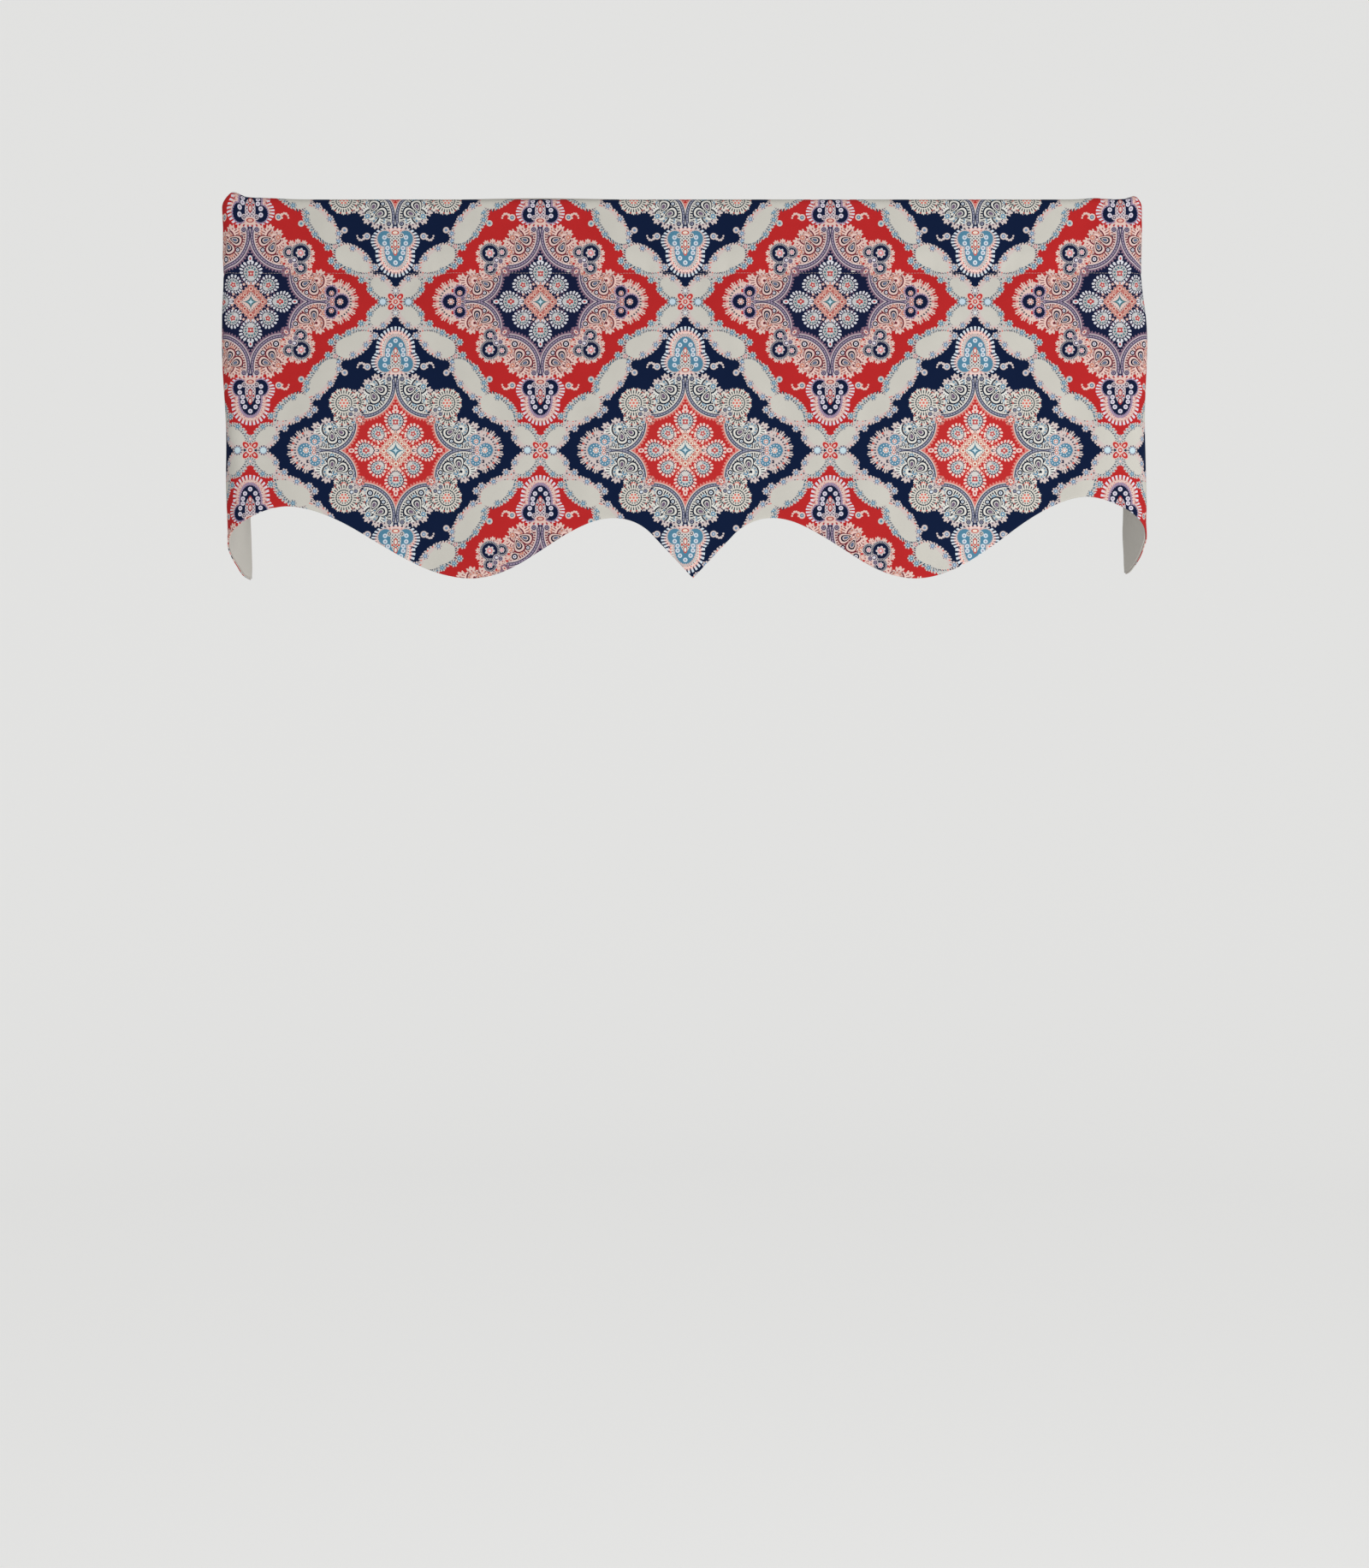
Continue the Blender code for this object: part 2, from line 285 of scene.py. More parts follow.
class Nodes:
    """Adds nodes to a tree in the order in which they are evaluated."""

    def __init__(self, tree):
        self.tree = tree

    def feed(self, socket, value):
        """Links another node's output to a socket, or sets the socket to a constant."""
        if isinstance(value, bpy.types.NodeSocket):
            self.tree.links.new(value, socket)
        else:
            socket.default_value = value

    def math(self, operation, *values):
        node = self.tree.nodes.new("ShaderNodeMath")
        node.operation = operation
        for socket, value in zip(node.inputs, values):
            self.feed(socket, value)
        return node.outputs[0]

    def vector(self, operation, *values):
        node = self.tree.nodes.new("ShaderNodeVectorMath")
        node.operation = operation
        for socket, value in zip(node.inputs, values):
            self.feed(socket, value)
        return node.outputs["Vector" if operation == "SUBTRACT" else "Value"]

    def join(self, x, y):
        node = self.tree.nodes.new("ShaderNodeCombineXYZ")
        self.feed(node.inputs[0], x)
        self.feed(node.inputs[1], y)
        return node.outputs[0]

    def split(self, vector):
        node = self.tree.nodes.new("ShaderNodeSeparateXYZ")
        self.feed(node.inputs[0], vector)
        return node.outputs[0], node.outputs[1]

    def mix(self, factor, first, second):
        node = self.tree.nodes.new("ShaderNodeMix")
        node.data_type = "FLOAT"
        self.feed(node.inputs[0], factor)
        self.feed(node.inputs[2], first)
        self.feed(node.inputs[3], second)
        return node.outputs[0]

    def plus(self, first, second):
        return self.math("ADD", first, second)

    def minus(self, first, second):
        return self.math("SUBTRACT", first, second)

    def times(self, first, second):
        return self.math("MULTIPLY", first, second)

    def scaled(self, value, factor, offset):
        return self.math("MULTIPLY_ADD", value, factor, offset)

    def size_of(self, value):
        return self.math("ABSOLUTE", value)

    def fold(self, value, reach):
        """A value that runs up to a reach, back to 0 and up again."""
        return self.math("PINGPONG", value, reach)

    def less(self, value, limit):
        """1 where a value is below a limit, and 0 elsewhere, as in every mask."""
        return self.math("LESS_THAN", value, limit)

    def more(self, value, limit):
        return self.math("GREATER_THAN", value, limit)

    def near(self, value, middle, reach):
        return self.math("COMPARE", value, middle, reach)

    def length(self, x, y):
        return self.vector("LENGTH", self.join(x, y))

    def polar(self, x, y):
        """Distance and angle of a place."""
        return self.length(x, y), self.math("ARCTAN2", y, x)

    def local(self, vector, centre, turn, size):
        """A place seen from a motif's centre, turned and scaled with it: x and y."""
        away = self.vector("SUBTRACT", vector, (*centre, 0.0))
        c, s = math.cos(math.radians(turn)), math.sin(math.radians(turn))
        x = self.vector("DOT_PRODUCT", away, (c / size[0], s / size[0], 0.0))
        y = self.vector("DOT_PRODUCT", away, (-s / size[1], c / size[1], 0.0))
        return x, y


# The print repeats along and down the cloth. A navy medallion's centre fixes where it starts.
REPEAT_X = 0.3304
REPEAT_Y = 0.3392
NAVY_X = 0.0019
NAVY_DROP = 0.2872

# It is designed in units of its own: p along and q down or up from the nearest medallion's centre.
UNIT = 0.9747e-3
SPAN_P = REPEAT_X / 2 / UNIT
SPAN_Q = REPEAT_Y / 2 / UNIT
DOT_PITCH = 1.9
SPECK_PITCH = 1.7

# Each ink has one colour on the red medallion's ground and another on the navy one's, in sRGB from 0 to 255.
INKS = (
    ("field", (184, 40, 41), (14, 28, 58)),
    ("star", (20, 28, 58), (190, 46, 46)),
    ("ivory", (203, 200, 191), (203, 200, 191)),
    ("edging", (194, 192, 188), (206, 192, 188)),
    ("edge_dot", (44, 58, 76), (58, 52, 78)),
    ("edge_floret", (92, 134, 158), (116, 142, 172)),
    ("fan", (234, 200, 190), (226, 226, 220)),
    ("fan_dot", (112, 40, 52), (18, 26, 48)),
    ("fan_flower", (200, 128, 108), (98, 142, 170)),
    ("band", (44, 42, 70), (36, 44, 72)),
    ("band_dot", (158, 142, 164), (150, 152, 170)),
    ("line", (206, 192, 196), (212, 208, 202)),
    ("drop", (96, 108, 132), (110, 92, 116)),
    ("halo", (222, 196, 188), (222, 220, 212)),
    ("fringe", (222, 194, 184), (208, 194, 190)),
    ("fringe_dot", (168, 84, 88), (84, 66, 92)),
    ("lobe", (18, 28, 58), (220, 214, 204)),
    ("lobe_tooth", (204, 198, 200), (46, 64, 72)),
    ("lobe_heart", (216, 140, 140), (218, 112, 98)),
    ("shield", (18, 28, 58), (82, 132, 158)),
    ("pearl", (218, 214, 224), (212, 222, 230)),
    ("shield_edge", (156, 136, 162), (204, 184, 180)),
    ("ring", (22, 22, 46), (20, 26, 50)),
    ("floret", (200, 200, 200), (212, 206, 202)),
    ("ray", (216, 216, 222), (236, 206, 198)),
    ("floret_ring", (70, 116, 126), (74, 122, 142)),
    ("floret_heart", (182, 70, 70), (188, 78, 78)),
    ("rosette", (222, 182, 168), (234, 220, 204)),
    ("rosette_line", (166, 56, 54), (194, 88, 76)),
    ("bow_red", (192, 52, 50), (192, 52, 50)),
    ("cross_heart", (196, 214, 224), (200, 220, 226)),
    ("star_edge", (132, 106, 124), (218, 136, 126)),
)
INK = {name: index for index, (name, _, _) in enumerate(INKS)}
ON_RED, ON_NAVY = 1, 2

# The lattice. Leaves: centre, turn, half length and half width, taper, teeth. Necks: centre, radius.
LEAVES = (
    ((17.5, 158.0), -48.0, (14.4, 7.0), 0.0, 26),
    ((49.6, 125.4), 146.0, (22.4, 8.8), 0.38, 38),
    ((84.7, 87.0), -52.0, (27.6, 8.0), 0.24, 44),
    ((119.9, 48.6), -34.0, (22.4, 8.8), 0.38, 38),
    ((152.0, 16.0), -42.0, (14.4, 7.0), 0.0, 26),
)
MIDDLE_LEAF = 2
MIDDLE_LEAF_SHIFT = 0.13
EDGING_REACH = (3.6, 7.0)
NECKS = (((70.0, 110.0), 6.5), ((99.5, 64.0), 6.5), ((35.0, 142.0), 8.5), ((134.4, 32.0), 8.5))
EDGE_FLORETS = (
    (139.7, 14.4), (129.5, 25.9), (114.9, 36.7), (100.8, 41.8), (94.5, 47.5), (90.6, 62.8), (76.0, 78.0),
    (66.0, 95.0), (66.5, 104.0), (50.0, 112.0), (34.5, 123.4), (24.0, 134.0), (14.5, 146.5),
)

# The field. Sprig's curl: centre, radius. Skirts below the shields: centre, size.
SPRIG_CURL = (
    ((37.0, 101.0), 1.6), ((39.4, 102.4), 1.3), ((41.8, 102.0), 1.5),
    ((43.8, 100.0), 1.2), ((44.6, 97.4), 1.1), ((37.2, 97.2), 1.1),
)
SKIRTS = (((0.0, 103.5), (28.0, 18.0)), ((0.0, 118.5), (22.6, 26.0)))

# The star stands between two arcs, and a fan with a band along its rim fills each arc.
ARC_COLUMNS = (
    "centre", "radius", "band_reach", "band_teeth",
    "fan_centre", "fan_size", "fan_teeth", "fan_focus",
)
ARCS = (
    ((37.6, 76.2), 38.4, 84.0, 66, (17.0, 64.0), (26.5, 25.5), 36, (28.0, 75.0)),
    ((79.8, 31.0), 34.6, 90.0, 60, (74.0, 13.0), (30.0, 25.0), 38, (77.0, 25.0)),
)
STAR_LIMIT = 70.0
FAN_FLOWERS = (
    (22.4, 54.6), (35.4, 58.0), (12.0, 67.4), (58.6, 18.6), (74.4, 6.6),
    (71.0, 26.4), (32.6, 74.6), (86.0, 13.4), (38.0, 47.2), (50.0, 34.6),
)
# Rings: centre, share of the full size. Drops: centre, turn, half length, half width.
FAN_RINGS = (
    ((30.0, 49.6), 1.0), ((14.6, 60.0), 0.8), ((52.6, 26.0), 0.8),
    ((65.6, 10.6), 0.8), ((84.0, 6.6), 0.6), ((10.5, 75.0), 0.6),
)
FAN_DROPS = (
    ((25.6, 63.6), 66.0, 6.0, 3.6), ((18.2, 71.6), 20.0, 6.0, 3.5),
    ((64.2, 21.4), 28.0, 6.0, 3.5), ((74.2, 16.4), 84.0, 6.0, 3.4),
)

# Florets in the star: centre, radius, turn, petals. Bosses of the rosette: centre, radius.
STAR_FLORETS = (((0.0, 33.2), 14.4, 90.0, 19), ((34.4, 0.0), 13.8, 0.0, 19), ((20.4, 19.6), 12.0, 45.0, 16))
DIAGONAL = 45.0
BOSSES = (((0.0, 15.6), 3.5), ((14.0, 0.0), 3.5), ((6.9, 8.2), 3.1), ((3.6, 12.6), 1.5), ((11.0, 4.4), 1.5))

# Trefoils: centre, radius, teeth or sprays.
RED_TREFOIL = (((45.0, 57.4), 6.2, 14), ((58.6, 39.6), 6.8, 15), ((59.0, 56.4), 10.4, 22))
NAVY_TREFOIL = (((46.4, 56.6), 9.4, 9), ((61.0, 40.4), 9.0, 9), ((60.4, 55.4), 14.6, 14))
END_TREFOIL = (((94.0, 12.2), 6.2, 15), ((105.8, 0.0), 8.4, 20))
END_FLORETS = (((94.4, 10.4), 3.2), ((104.6, 0.0), 4.0), ((95.4, 2.4), 3.0))

# Where bands meet: radius and ink of each disc, from the largest to the smallest.
BUTTON = ((3.6, "line"), (2.8, "band"), (1.7, "pearl"))
SMALL_CURL = ((3.2, "line"), (2.4, "band"), (1.5, "band_dot"), (0.7, "band"))
LARGE_CURL = ((3.6, "line"), (2.8, "band"), (1.7, "band_dot"), (0.8, "band"))
CURLS = (
    ((51.4, 48.6), BUTTON), ((46.6, 47.4), SMALL_CURL), ((52.6, 42.6), SMALL_CURL),
    ((7.6, 83.6), LARGE_CURL), ((91.5, 4.2), LARGE_CURL),
)
SHIELD_PEARLS = ((12.6, 99.6), (12.4, 106.4), (9.0, 111.9), (8.9, 117.4), (6.2, 123.4), (0.0, 128.4))

# Where four medallions meet: eyes beside, buds above and below, and bows with their turns.
JUNCTIONS = ((0.0, SPAN_Q), (SPAN_P, 0.0))
EYES = (15.0, -15.0)
BUDS = (13.0, -13.0)
BOWS = ((5.0, 5.6, 48.0), (5.0, -5.6, -48.0), (-5.0, 5.6, -48.0), (-5.0, -5.6, 48.0))


class Print(Nodes):
    """Paints motifs one over another, all in one quarter of a medallion that is mirrored."""

    def __init__(self, tree, along, drop):
        super().__init__(tree)
        self.ink = float(INK["field"])
        u = self.fold(self.scaled(along, 1 / REPEAT_X, -NAVY_X / REPEAT_X), 0.5)
        v = self.fold(self.scaled(drop, 1 / REPEAT_Y, -NAVY_DROP / REPEAT_Y), 0.5)
        self.red = self.more(self.plus(u, v), 0.5)
        u_here = self.mix(self.red, u, self.minus(0.5, u))
        v_here = self.mix(self.red, v, self.minus(0.5, v))
        self.p = self.times(u_here, 2 * SPAN_P)
        self.q = self.times(v_here, 2 * SPAN_Q)
        self.navy = self.minus(1.0, self.red)
        self.place = self.join(self.p, self.q)
        falling = self.fold(self.plus(self.p, self.q), DOT_PITCH)
        rising = self.fold(self.minus(self.p, self.q), DOT_PITCH)
        self.grid = self.less(self.length(falling, rising), 1.12)
        level = self.fold(self.p, SPECK_PITCH)
        upright = self.fold(self.q, SPECK_PITCH)
        self.speck = self.less(self.length(level, upright), 0.9)

    def paint(self, ink, *masks):
        """Lays an ink where all the masks are 1."""
        mask = masks[0]
        for other in masks[1:]:
            mask = self.times(mask, other)
        self.ink = self.mix(mask, self.ink, float(INK[ink]))

    def stack(self, polar, masks, *layers):
        """Layers about one centre where the masks are 1: an ink, a shape and the shape's numbers each."""
        for ink, shape, *numbers in layers:
            self.paint(ink, *masks, shape(polar, *numbers))

    def away(self, centre):
        return self.vector("DISTANCE", self.place, (*centre, 0.0))

    def discs(self, centre, layers):
        """Discs of one centre, from the largest to the smallest: radius and ink."""
        away = self.away(centre)
        for radius, ink in layers:
            self.paint(ink, self.less(away, radius))

    def drop(self, centre, turn, half_length, half_width, layers, taper=0.0):
        """Ellipses of one centre, or drops that narrow forward: share of the size and ink."""
        x, y = self.local(self.place, centre, turn, (half_length, half_width))
        if taper:
            y = self.math("DIVIDE", y, self.scaled(x, -taper, 1.0))
        away = self.length(x, y)
        for share, ink in layers:
            self.paint(ink, self.less(away, share))

    def about(self, centre, size=(1.0, 1.0)):
        """Distance and angle from a centre, the distance in shares of the size."""
        return self.polar(*self.local(self.place, centre, 0.0, size))

    def petals(self, polar, count):
        """A wave round a centre: 0 in each gap and 1 at the middle of each petal."""
        return self.size_of(self.math("SINE", self.times(polar[1], count / 2.0)))

    def inside(self, polar, radius):
        return self.less(polar[0], radius)

    def ring(self, polar, radius, half_width):
        return self.near(polar[0], radius, half_width)

    def toothed(self, polar, radius, depth, count):
        """Inside of a round edge with soft teeth."""
        wave = self.math("SINE", self.times(polar[1], float(count)))
        return self.inside(polar, self.scaled(wave, depth, radius))

    def petalled(self, polar, radius, depth, count):
        """Inside of a round edge with round petals and sharp gaps."""
        edge = self.scaled(self.petals(polar, count), depth, radius - depth)
        return self.inside(polar, edge)

    def leafy(self, polar, radius, depth, count, leaflets=3):
        """Inside of an edge of leaf sprays, each of some leaflets."""
        spray = self.petals(polar, count)
        leaf = self.petals(polar, count * leaflets)
        edge = self.scaled(spray, depth * 0.5, radius - depth)
        return self.inside(polar, self.scaled(leaf, depth * 0.5, edge))

    def spokes(self, polar, inner, outer, count, share, test):
        """The part of each petal's width between two radii that passes a test."""
        line = test(self.petals(polar, count), math.sin(math.pi / 2.0 * share))
        return self.times(line, self.ring(polar, (inner + outer) / 2.0, (outer - inner) / 2.0))

    def gaps(self, polar, inner, outer, count, share):
        """Short lines in the gaps between petals; share is how much of the pitch they take."""
        return self.spokes(polar, inner, outer, count, share, self.less)

    def rays(self, polar, inner, outer, count, gap):
        """Short rays along petals; gap is the share of the pitch that stays open."""
        return self.spokes(polar, inner, outer, count, gap, self.more)

    def beads(self, polar, radius, bead, count):
        """Round beads in a ring."""
        across = self.times(self.fold(polar[1], math.pi / count), radius)
        return self.less(self.length(across, self.minus(polar[0], radius)), bead)

    def lozenge(self, half_width, half_height):
        """1 on the edge of a lozenge about the medallion's centre, and less inside it."""
        level = self.math("DIVIDE", self.p, half_width)
        return self.plus(level, self.math("DIVIDE", self.q, half_height))


def draw_lattice(art):
    """Leafy edging of the ivory leaves, necks between them, the leaves, and florets along them."""
    leaves = []
    side = art.scaled(art.red, -2.0, 1.0)
    for index, (centre, turn, size, taper, teeth) in enumerate(LEAVES):
        x, y = art.local(art.place, centre, turn, size)
        if index == MIDDLE_LEAF:
            x = art.scaled(x, side, -MIDDLE_LEAF_SHIFT)
        square = art.times(x, x)
        narrow = art.times(art.size_of(y), art.scaled(x, taper, 1.0))
        leaf = art.scaled(square, square, narrow)
        wider = [half / (half + reach) for half, reach in zip(size, EDGING_REACH)]
        polar = art.polar(art.times(x, wider[0]), art.times(y, wider[1]))
        art.stack(polar, (), ("edging", art.leafy, 1.06, 0.15, teeth // 2, 2))
        art.stack(polar, (), ("field", art.gaps, 0.90, 1.06, teeth, 0.32))
        art.stack(polar, (art.navy,), ("lobe_heart", art.beads, 0.88, 0.045, teeth // 2))
        art.stack(polar, (art.red,), ("edge_floret", art.beads, 0.84, 0.055, teeth // 2 + 3))
        leaves.append((leaf, art.more(art.math("SINE", art.times(polar[1], float(teeth))), 0.35)))
    for centre, radius in NECKS:
        neck = art.about(centre)
        art.stack(neck, (), ("edging", art.inside, radius), ("edge_dot", art.beads, radius - 1.8, 1.0, 7))
        art.stack(neck, (), ("lobe_heart", art.beads, radius - 4.6, 0.9, 5))
    for leaf, dots in leaves:
        art.paint("edge_dot", dots, art.red, art.near(leaf, 1.30, 0.15))
    for leaf, _ in leaves:
        art.paint("ivory", art.less(leaf, 1.12))
    for centre in EDGE_FLORETS:
        bud = art.about(centre)
        art.stack(bud, (), ("edging", art.petalled, 4.6, 1.8, 7), ("edge_dot", art.beads, 3.6, 0.55, 7))
        art.stack(bud, (), ("edge_floret", art.petalled, 3.0, 1.5, 5), ("cross_heart", art.inside, 0.8))


def draw_sprigs(art):
    """Two small flowers on the field, one with a curl of dots."""
    art.discs((33.0, 98.0), ((3.9, "fringe"), (2.3, "edge_floret"), (0.8, "halo")))
    for centre, radius in SPRIG_CURL:
        art.discs(centre, ((radius, "fringe"),))
    art.discs((59.4, 90.9), ((3.6, "edging"), (1.6, "edge_floret")))


def draw_skirts(art):
    """Rays, rim and speckled body below the shields, then the leafy fringe at the medallion's sides."""
    skirts = [art.about(centre, size) for centre, size in SKIRTS]
    for polar in skirts:
        art.stack(polar, (), ("pearl", art.rays, 0.84, 1.02, 30, 0.46))
    for polar in skirts:
        rim = art.inside(polar, 0.88)
        art.paint("fringe", rim)
        art.paint("ray", art.navy, rim)
    for polar in skirts:
        body = art.inside(polar, 0.80)
        art.stack(polar, (), ("fringe_dot", art.gaps, 0.80, 0.88, 30, 0.40))
        art.paint("fringe", body)
        art.paint("ray", art.navy, body)
        art.paint("lobe_heart", body, art.speck)
    art.paint("halo", art.inside(skirts[1], 0.70), art.more(art.q, 110.0))
    art.stack(skirts[1], (), ("fringe_dot", art.beads, 0.665, 0.024, 36))

    fringe = art.about((98.0, 0.0), (28.5, 27.5))
    base = art.inside(fringe, 0.76)
    art.paint("fringe", base)
    art.paint("fringe_dot", base, art.speck)
    art.stack(
        fringe, (), ("fringe", art.leafy, 1.02, 0.20, 17), ("field", art.gaps, 0.74, 0.98, 17, 0.3),
        ("field", art.gaps, 0.84, 1.02, 51, 0.34), ("lobe_heart", art.beads, 0.80, 0.045, 17),
        ("edge_dot", art.gaps, 0.64, 0.72, 34, 0.45),
    )


def draw_fans(art, arcs):
    """In each arc a fan with a fringe, and lines and rings about its focus."""
    for arc in arcs:
        teeth = arc["fan_teeth"]
        polar = art.about(arc["fan_centre"], arc["fan_size"])
        art.stack(
            polar, (arc["inside"],), ("fringe", art.leafy, 1.05, 0.22, teeth // 3),
            ("field", art.gaps, 0.84, 1.0, teeth // 3, 0.3), ("fringe_dot", art.gaps, 0.79, 0.86, teeth, 0.4),
        )
        inner = art.times(art.inside(polar, 0.78), arc["inside"])
        art.paint("fan", inner)
        focus = art.about(arc["fan_focus"])
        art.stack(
            focus, (inner,), ("fan_dot", art.gaps, 4.0, 30.0, 30, 0.36), ("fan", art.ring, 10.5, 1.0),
            ("fan_dot", art.ring, 8.6, 0.8), ("fan_dot", art.ring, 20.6, 0.8),
            ("fan", art.beads, 17.5, 1.3, 30), ("fan_flower", art.beads, 6.0, 1.1, 9),
        )
        art.stack(focus, (), ("fan", art.inside, 3.6), ("fan_dot", art.inside, 1.6))


def draw_star(art, arcs):
    """The star's ground between the arcs."""
    star = art.times(*[art.minus(1.0, arc["inside"]) for arc in arcs])
    tip = art.math("MAXIMUM", art.q, art.plus(art.p, 4.0))
    star = art.times(star, art.less(tip, STAR_LIMIT))
    art.paint("star", star)
    return star


def draw_bands(art, arcs, origin):
    """The bands' joined ends above the star's tip, then the beaded band along each arc."""
    stem = art.times(art.less(art.p, 5.4), art.near(art.q, 78.0, 9.0))
    art.paint("line", stem)
    art.paint("band", stem, art.less(art.p, 3.0))
    art.paint("band_dot", stem, art.less(art.length(art.p, art.fold(art.q, DOT_PITCH)), 1.3))
    for arc in arcs:
        radius, reach, teeth = arc["radius"], arc["band_reach"], arc["band_teeth"]
        polar = art.about(arc["centre"])
        near = art.less(origin, reach)
        edge = art.toothed(polar, radius + 2.5, 1.3, teeth)
        art.paint("star_edge", edge, art.more(arc["away"], radius), art.less(origin, reach - 12.0))
        art.stack(
            polar, (near,), ("halo", art.ring, radius - 8.4, 3.2),
            ("fan_dot", art.rays, radius - 11.2, radius - 6.2, teeth, 0.44),
            ("fan_flower", art.rays, radius - 14.6, radius - 12.0, teeth, 0.5),
            ("line", art.ring, radius - 2.7, 2.9), ("band", art.ring, radius - 2.8, 2.0),
            ("band_dot", art.ring, radius - 2.8, 0.9), ("band", art.beads, radius - 2.8, 0.6, teeth),
        )


def draw_fan_fillings(art):
    """Flowers, rings and drops on the fans and between them."""
    for centre in FAN_FLOWERS:
        art.stack(
            art.about(centre), (), ("fan_dot", art.inside, 4.2), ("halo", art.petalled, 4.4, 1.6, 7),
            ("fan_flower", art.petalled, 3.2, 1.0, 7), ("halo", art.inside, 1.1),
        )
    for centre, s in FAN_RINGS:
        art.discs(centre, ((4.8 * s, "halo"), (3.8 * s, "ring"), (2.1 * s, "pearl"), (0.8 * s, "ring")))
    layers = ((1.64, "fan_dot"), (1.38, "halo"), (1.0, "ring"), (0.68, "halo"), (0.5, "drop"))
    for centre, turn, half_length, half_width in FAN_DROPS:
        art.drop(centre, turn, half_length, half_width, layers, 0.5)


def draw_lace(art, star, origin):
    """Specks and leaflets round the rosette."""
    art.paint("star_edge", star, art.speck, art.less(origin, 31.0))
    lace = art.about((0.0, 0.0), (25.0, 26.0))
    art.paint("rosette", art.ring(lace, 0.86, 0.055), art.gaps(lace, 0.5, 1.2, 32, 0.5))
    art.paint("rosette", art.leafy(lace, 0.70, 0.2, 16, 2), art.speck)


def draw_star_florets(art):
    """Florets that open outward in the star, with a bud before and behind the upright and level ones."""
    for centre, radius, turn, count in STAR_FLORETS:
        x, y = art.local(art.place, centre, turn, (radius, radius))
        y = art.math("DIVIDE", y, art.scaled(x, 0.3, 0.9))
        polar = art.polar(x, y)
        outer = art.more(art.scaled(art.size_of(y), 0.6, x), -0.12)
        if turn != DIAGONAL:
            before, behind = [(share * centre[0], share * centre[1]) for share in (1.5, 0.62)]
            art.drop(before, turn, 3.6, 2.6, ((1.0, "ray"), (0.45, "floret_heart")))
            art.drop(behind, turn, 5.6, 3.0, ((1.0, "ray"), (0.5, "band")))
        art.paint("ray", art.petalled(polar, 1.0, 0.16, count), art.rays(polar, 0.5, 1.0, count, 0.40))
        art.stack(polar, (), ("band", art.toothed, 0.72, 0.035, count))
        art.stack(polar, (), ("floret", art.toothed, 0.63, 0.035, count))
        art.stack(polar, (outer,), ("floret_ring", art.ring, 0.46, 0.085))
        art.stack(polar, (outer,), ("halo", art.beads, 0.47, 0.055, 12))
        art.stack(polar, (), ("floret_heart", art.toothed, 0.25, 0.06, 5), ("halo", art.inside, 0.09))


def draw_rosette(art):
    """The scalloped lozenge in the star's middle, with a cross in its heart."""
    diamond = art.lozenge(20.5, 23.0)
    wave = art.math("SINE", art.times(art.minus(art.p, art.q), 0.48))
    scallop = art.scaled(art.size_of(wave), 0.14, 0.91)
    art.paint("rosette", art.less(diamond, scallop))
    art.paint("rosette_line", art.near(diamond, art.minus(scallop, 0.08), 0.03))
    art.paint("rosette_line", art.near(diamond, 0.66, 0.025))
    art.paint("rosette_line", art.gaps(art.about((0.0, 0.0)), 8.0, 21.0, 36, 0.4), art.less(diamond, 0.8))
    for centre, r in BOSSES:
        art.discs(centre, ((r, "rosette_line"), (r - 0.6, "rosette"), (r * 0.40, "rosette_line")))
    art.paint("halo", art.less(art.lozenge(12.0, 12.4), 1.0))
    art.paint("band", art.grid, art.less(art.lozenge(12.0, 12.4), 0.97))
    art.paint("halo", art.less(art.lozenge(9.6, 10.0), 1.0))
    cross = art.plus(art.math("SQRT", art.p), art.math("SQRT", art.q))
    art.paint("floret_ring", art.less(cross, 3.3))
    art.paint("cross_heart", art.less(cross, 2.2))


def draw_diagonal_trefoils(art):
    """Rings of petals on the red medallion's diagonals, and rings of sprays on the navy one's."""
    trefoil = art.about((55.6, 52.6), (20.2, 20.2))
    art.stack(
        trefoil, (), ("fringe", art.leafy, 1.02, 0.18, 14), ("field", art.gaps, 0.85, 0.98, 14, 0.3),
        ("fringe_dot", art.gaps, 0.78, 0.84, 42, 0.4),
    )
    art.paint("fringe_dot", art.inside(trefoil, 0.78), art.speck)
    for centre, r, teeth in RED_TREFOIL:
        art.stack(
            art.about(centre), (art.red,), ("lobe_tooth", art.inside, r + 1.2),
            ("lobe", art.rays, 0.0, r + 0.9, 2 * teeth, 0.35), ("lobe", art.inside, r - 1.4),
            ("lobe_tooth", art.petalled, r * 0.56, r * 0.2, 7),
            ("lobe_heart", art.petalled, r * 0.38, r * 0.14, 7), ("pearl", art.inside, r * 0.14),
        )
    for centre, r, sprays in NAVY_TREFOIL:
        art.stack(
            art.about(centre), (art.navy,), ("lobe", art.leafy, r + 3.4, 3.6, sprays),
            ("field", art.gaps, r, r + 3.0, sprays, 0.3), ("lobe_heart", art.beads, r + 1.2, 0.8, sprays),
            ("lobe_tooth", art.gaps, r * 0.76, r, 2 * sprays, 0.44),
            ("lobe_tooth", art.beads, r * 0.62, 0.95, 2 * sprays),
            ("lobe_tooth", art.beads, r * 0.44, 0.85, sprays),
            ("lobe_heart", art.beads, r * 0.27, 1.3, 6), ("lobe_heart", art.inside, 1.4),
        )


def draw_curls(art):
    """A spray in the star's corner, and the buttons and curls where bands meet."""
    spray = art.about((41.0, 35.2), (6.4, 6.4))
    art.stack(spray, (), ("star_edge", art.leafy, 1.0, 0.3, 7), ("fan_dot", art.gaps, 0.3, 0.8, 7, 0.22))
    art.drop((41.8, 35.8), DIAGONAL, 3.2, 2.0, ((1.0, "halo"), (0.45, "floret_heart")))
    for centre, layers in CURLS:
        art.discs(centre, layers)


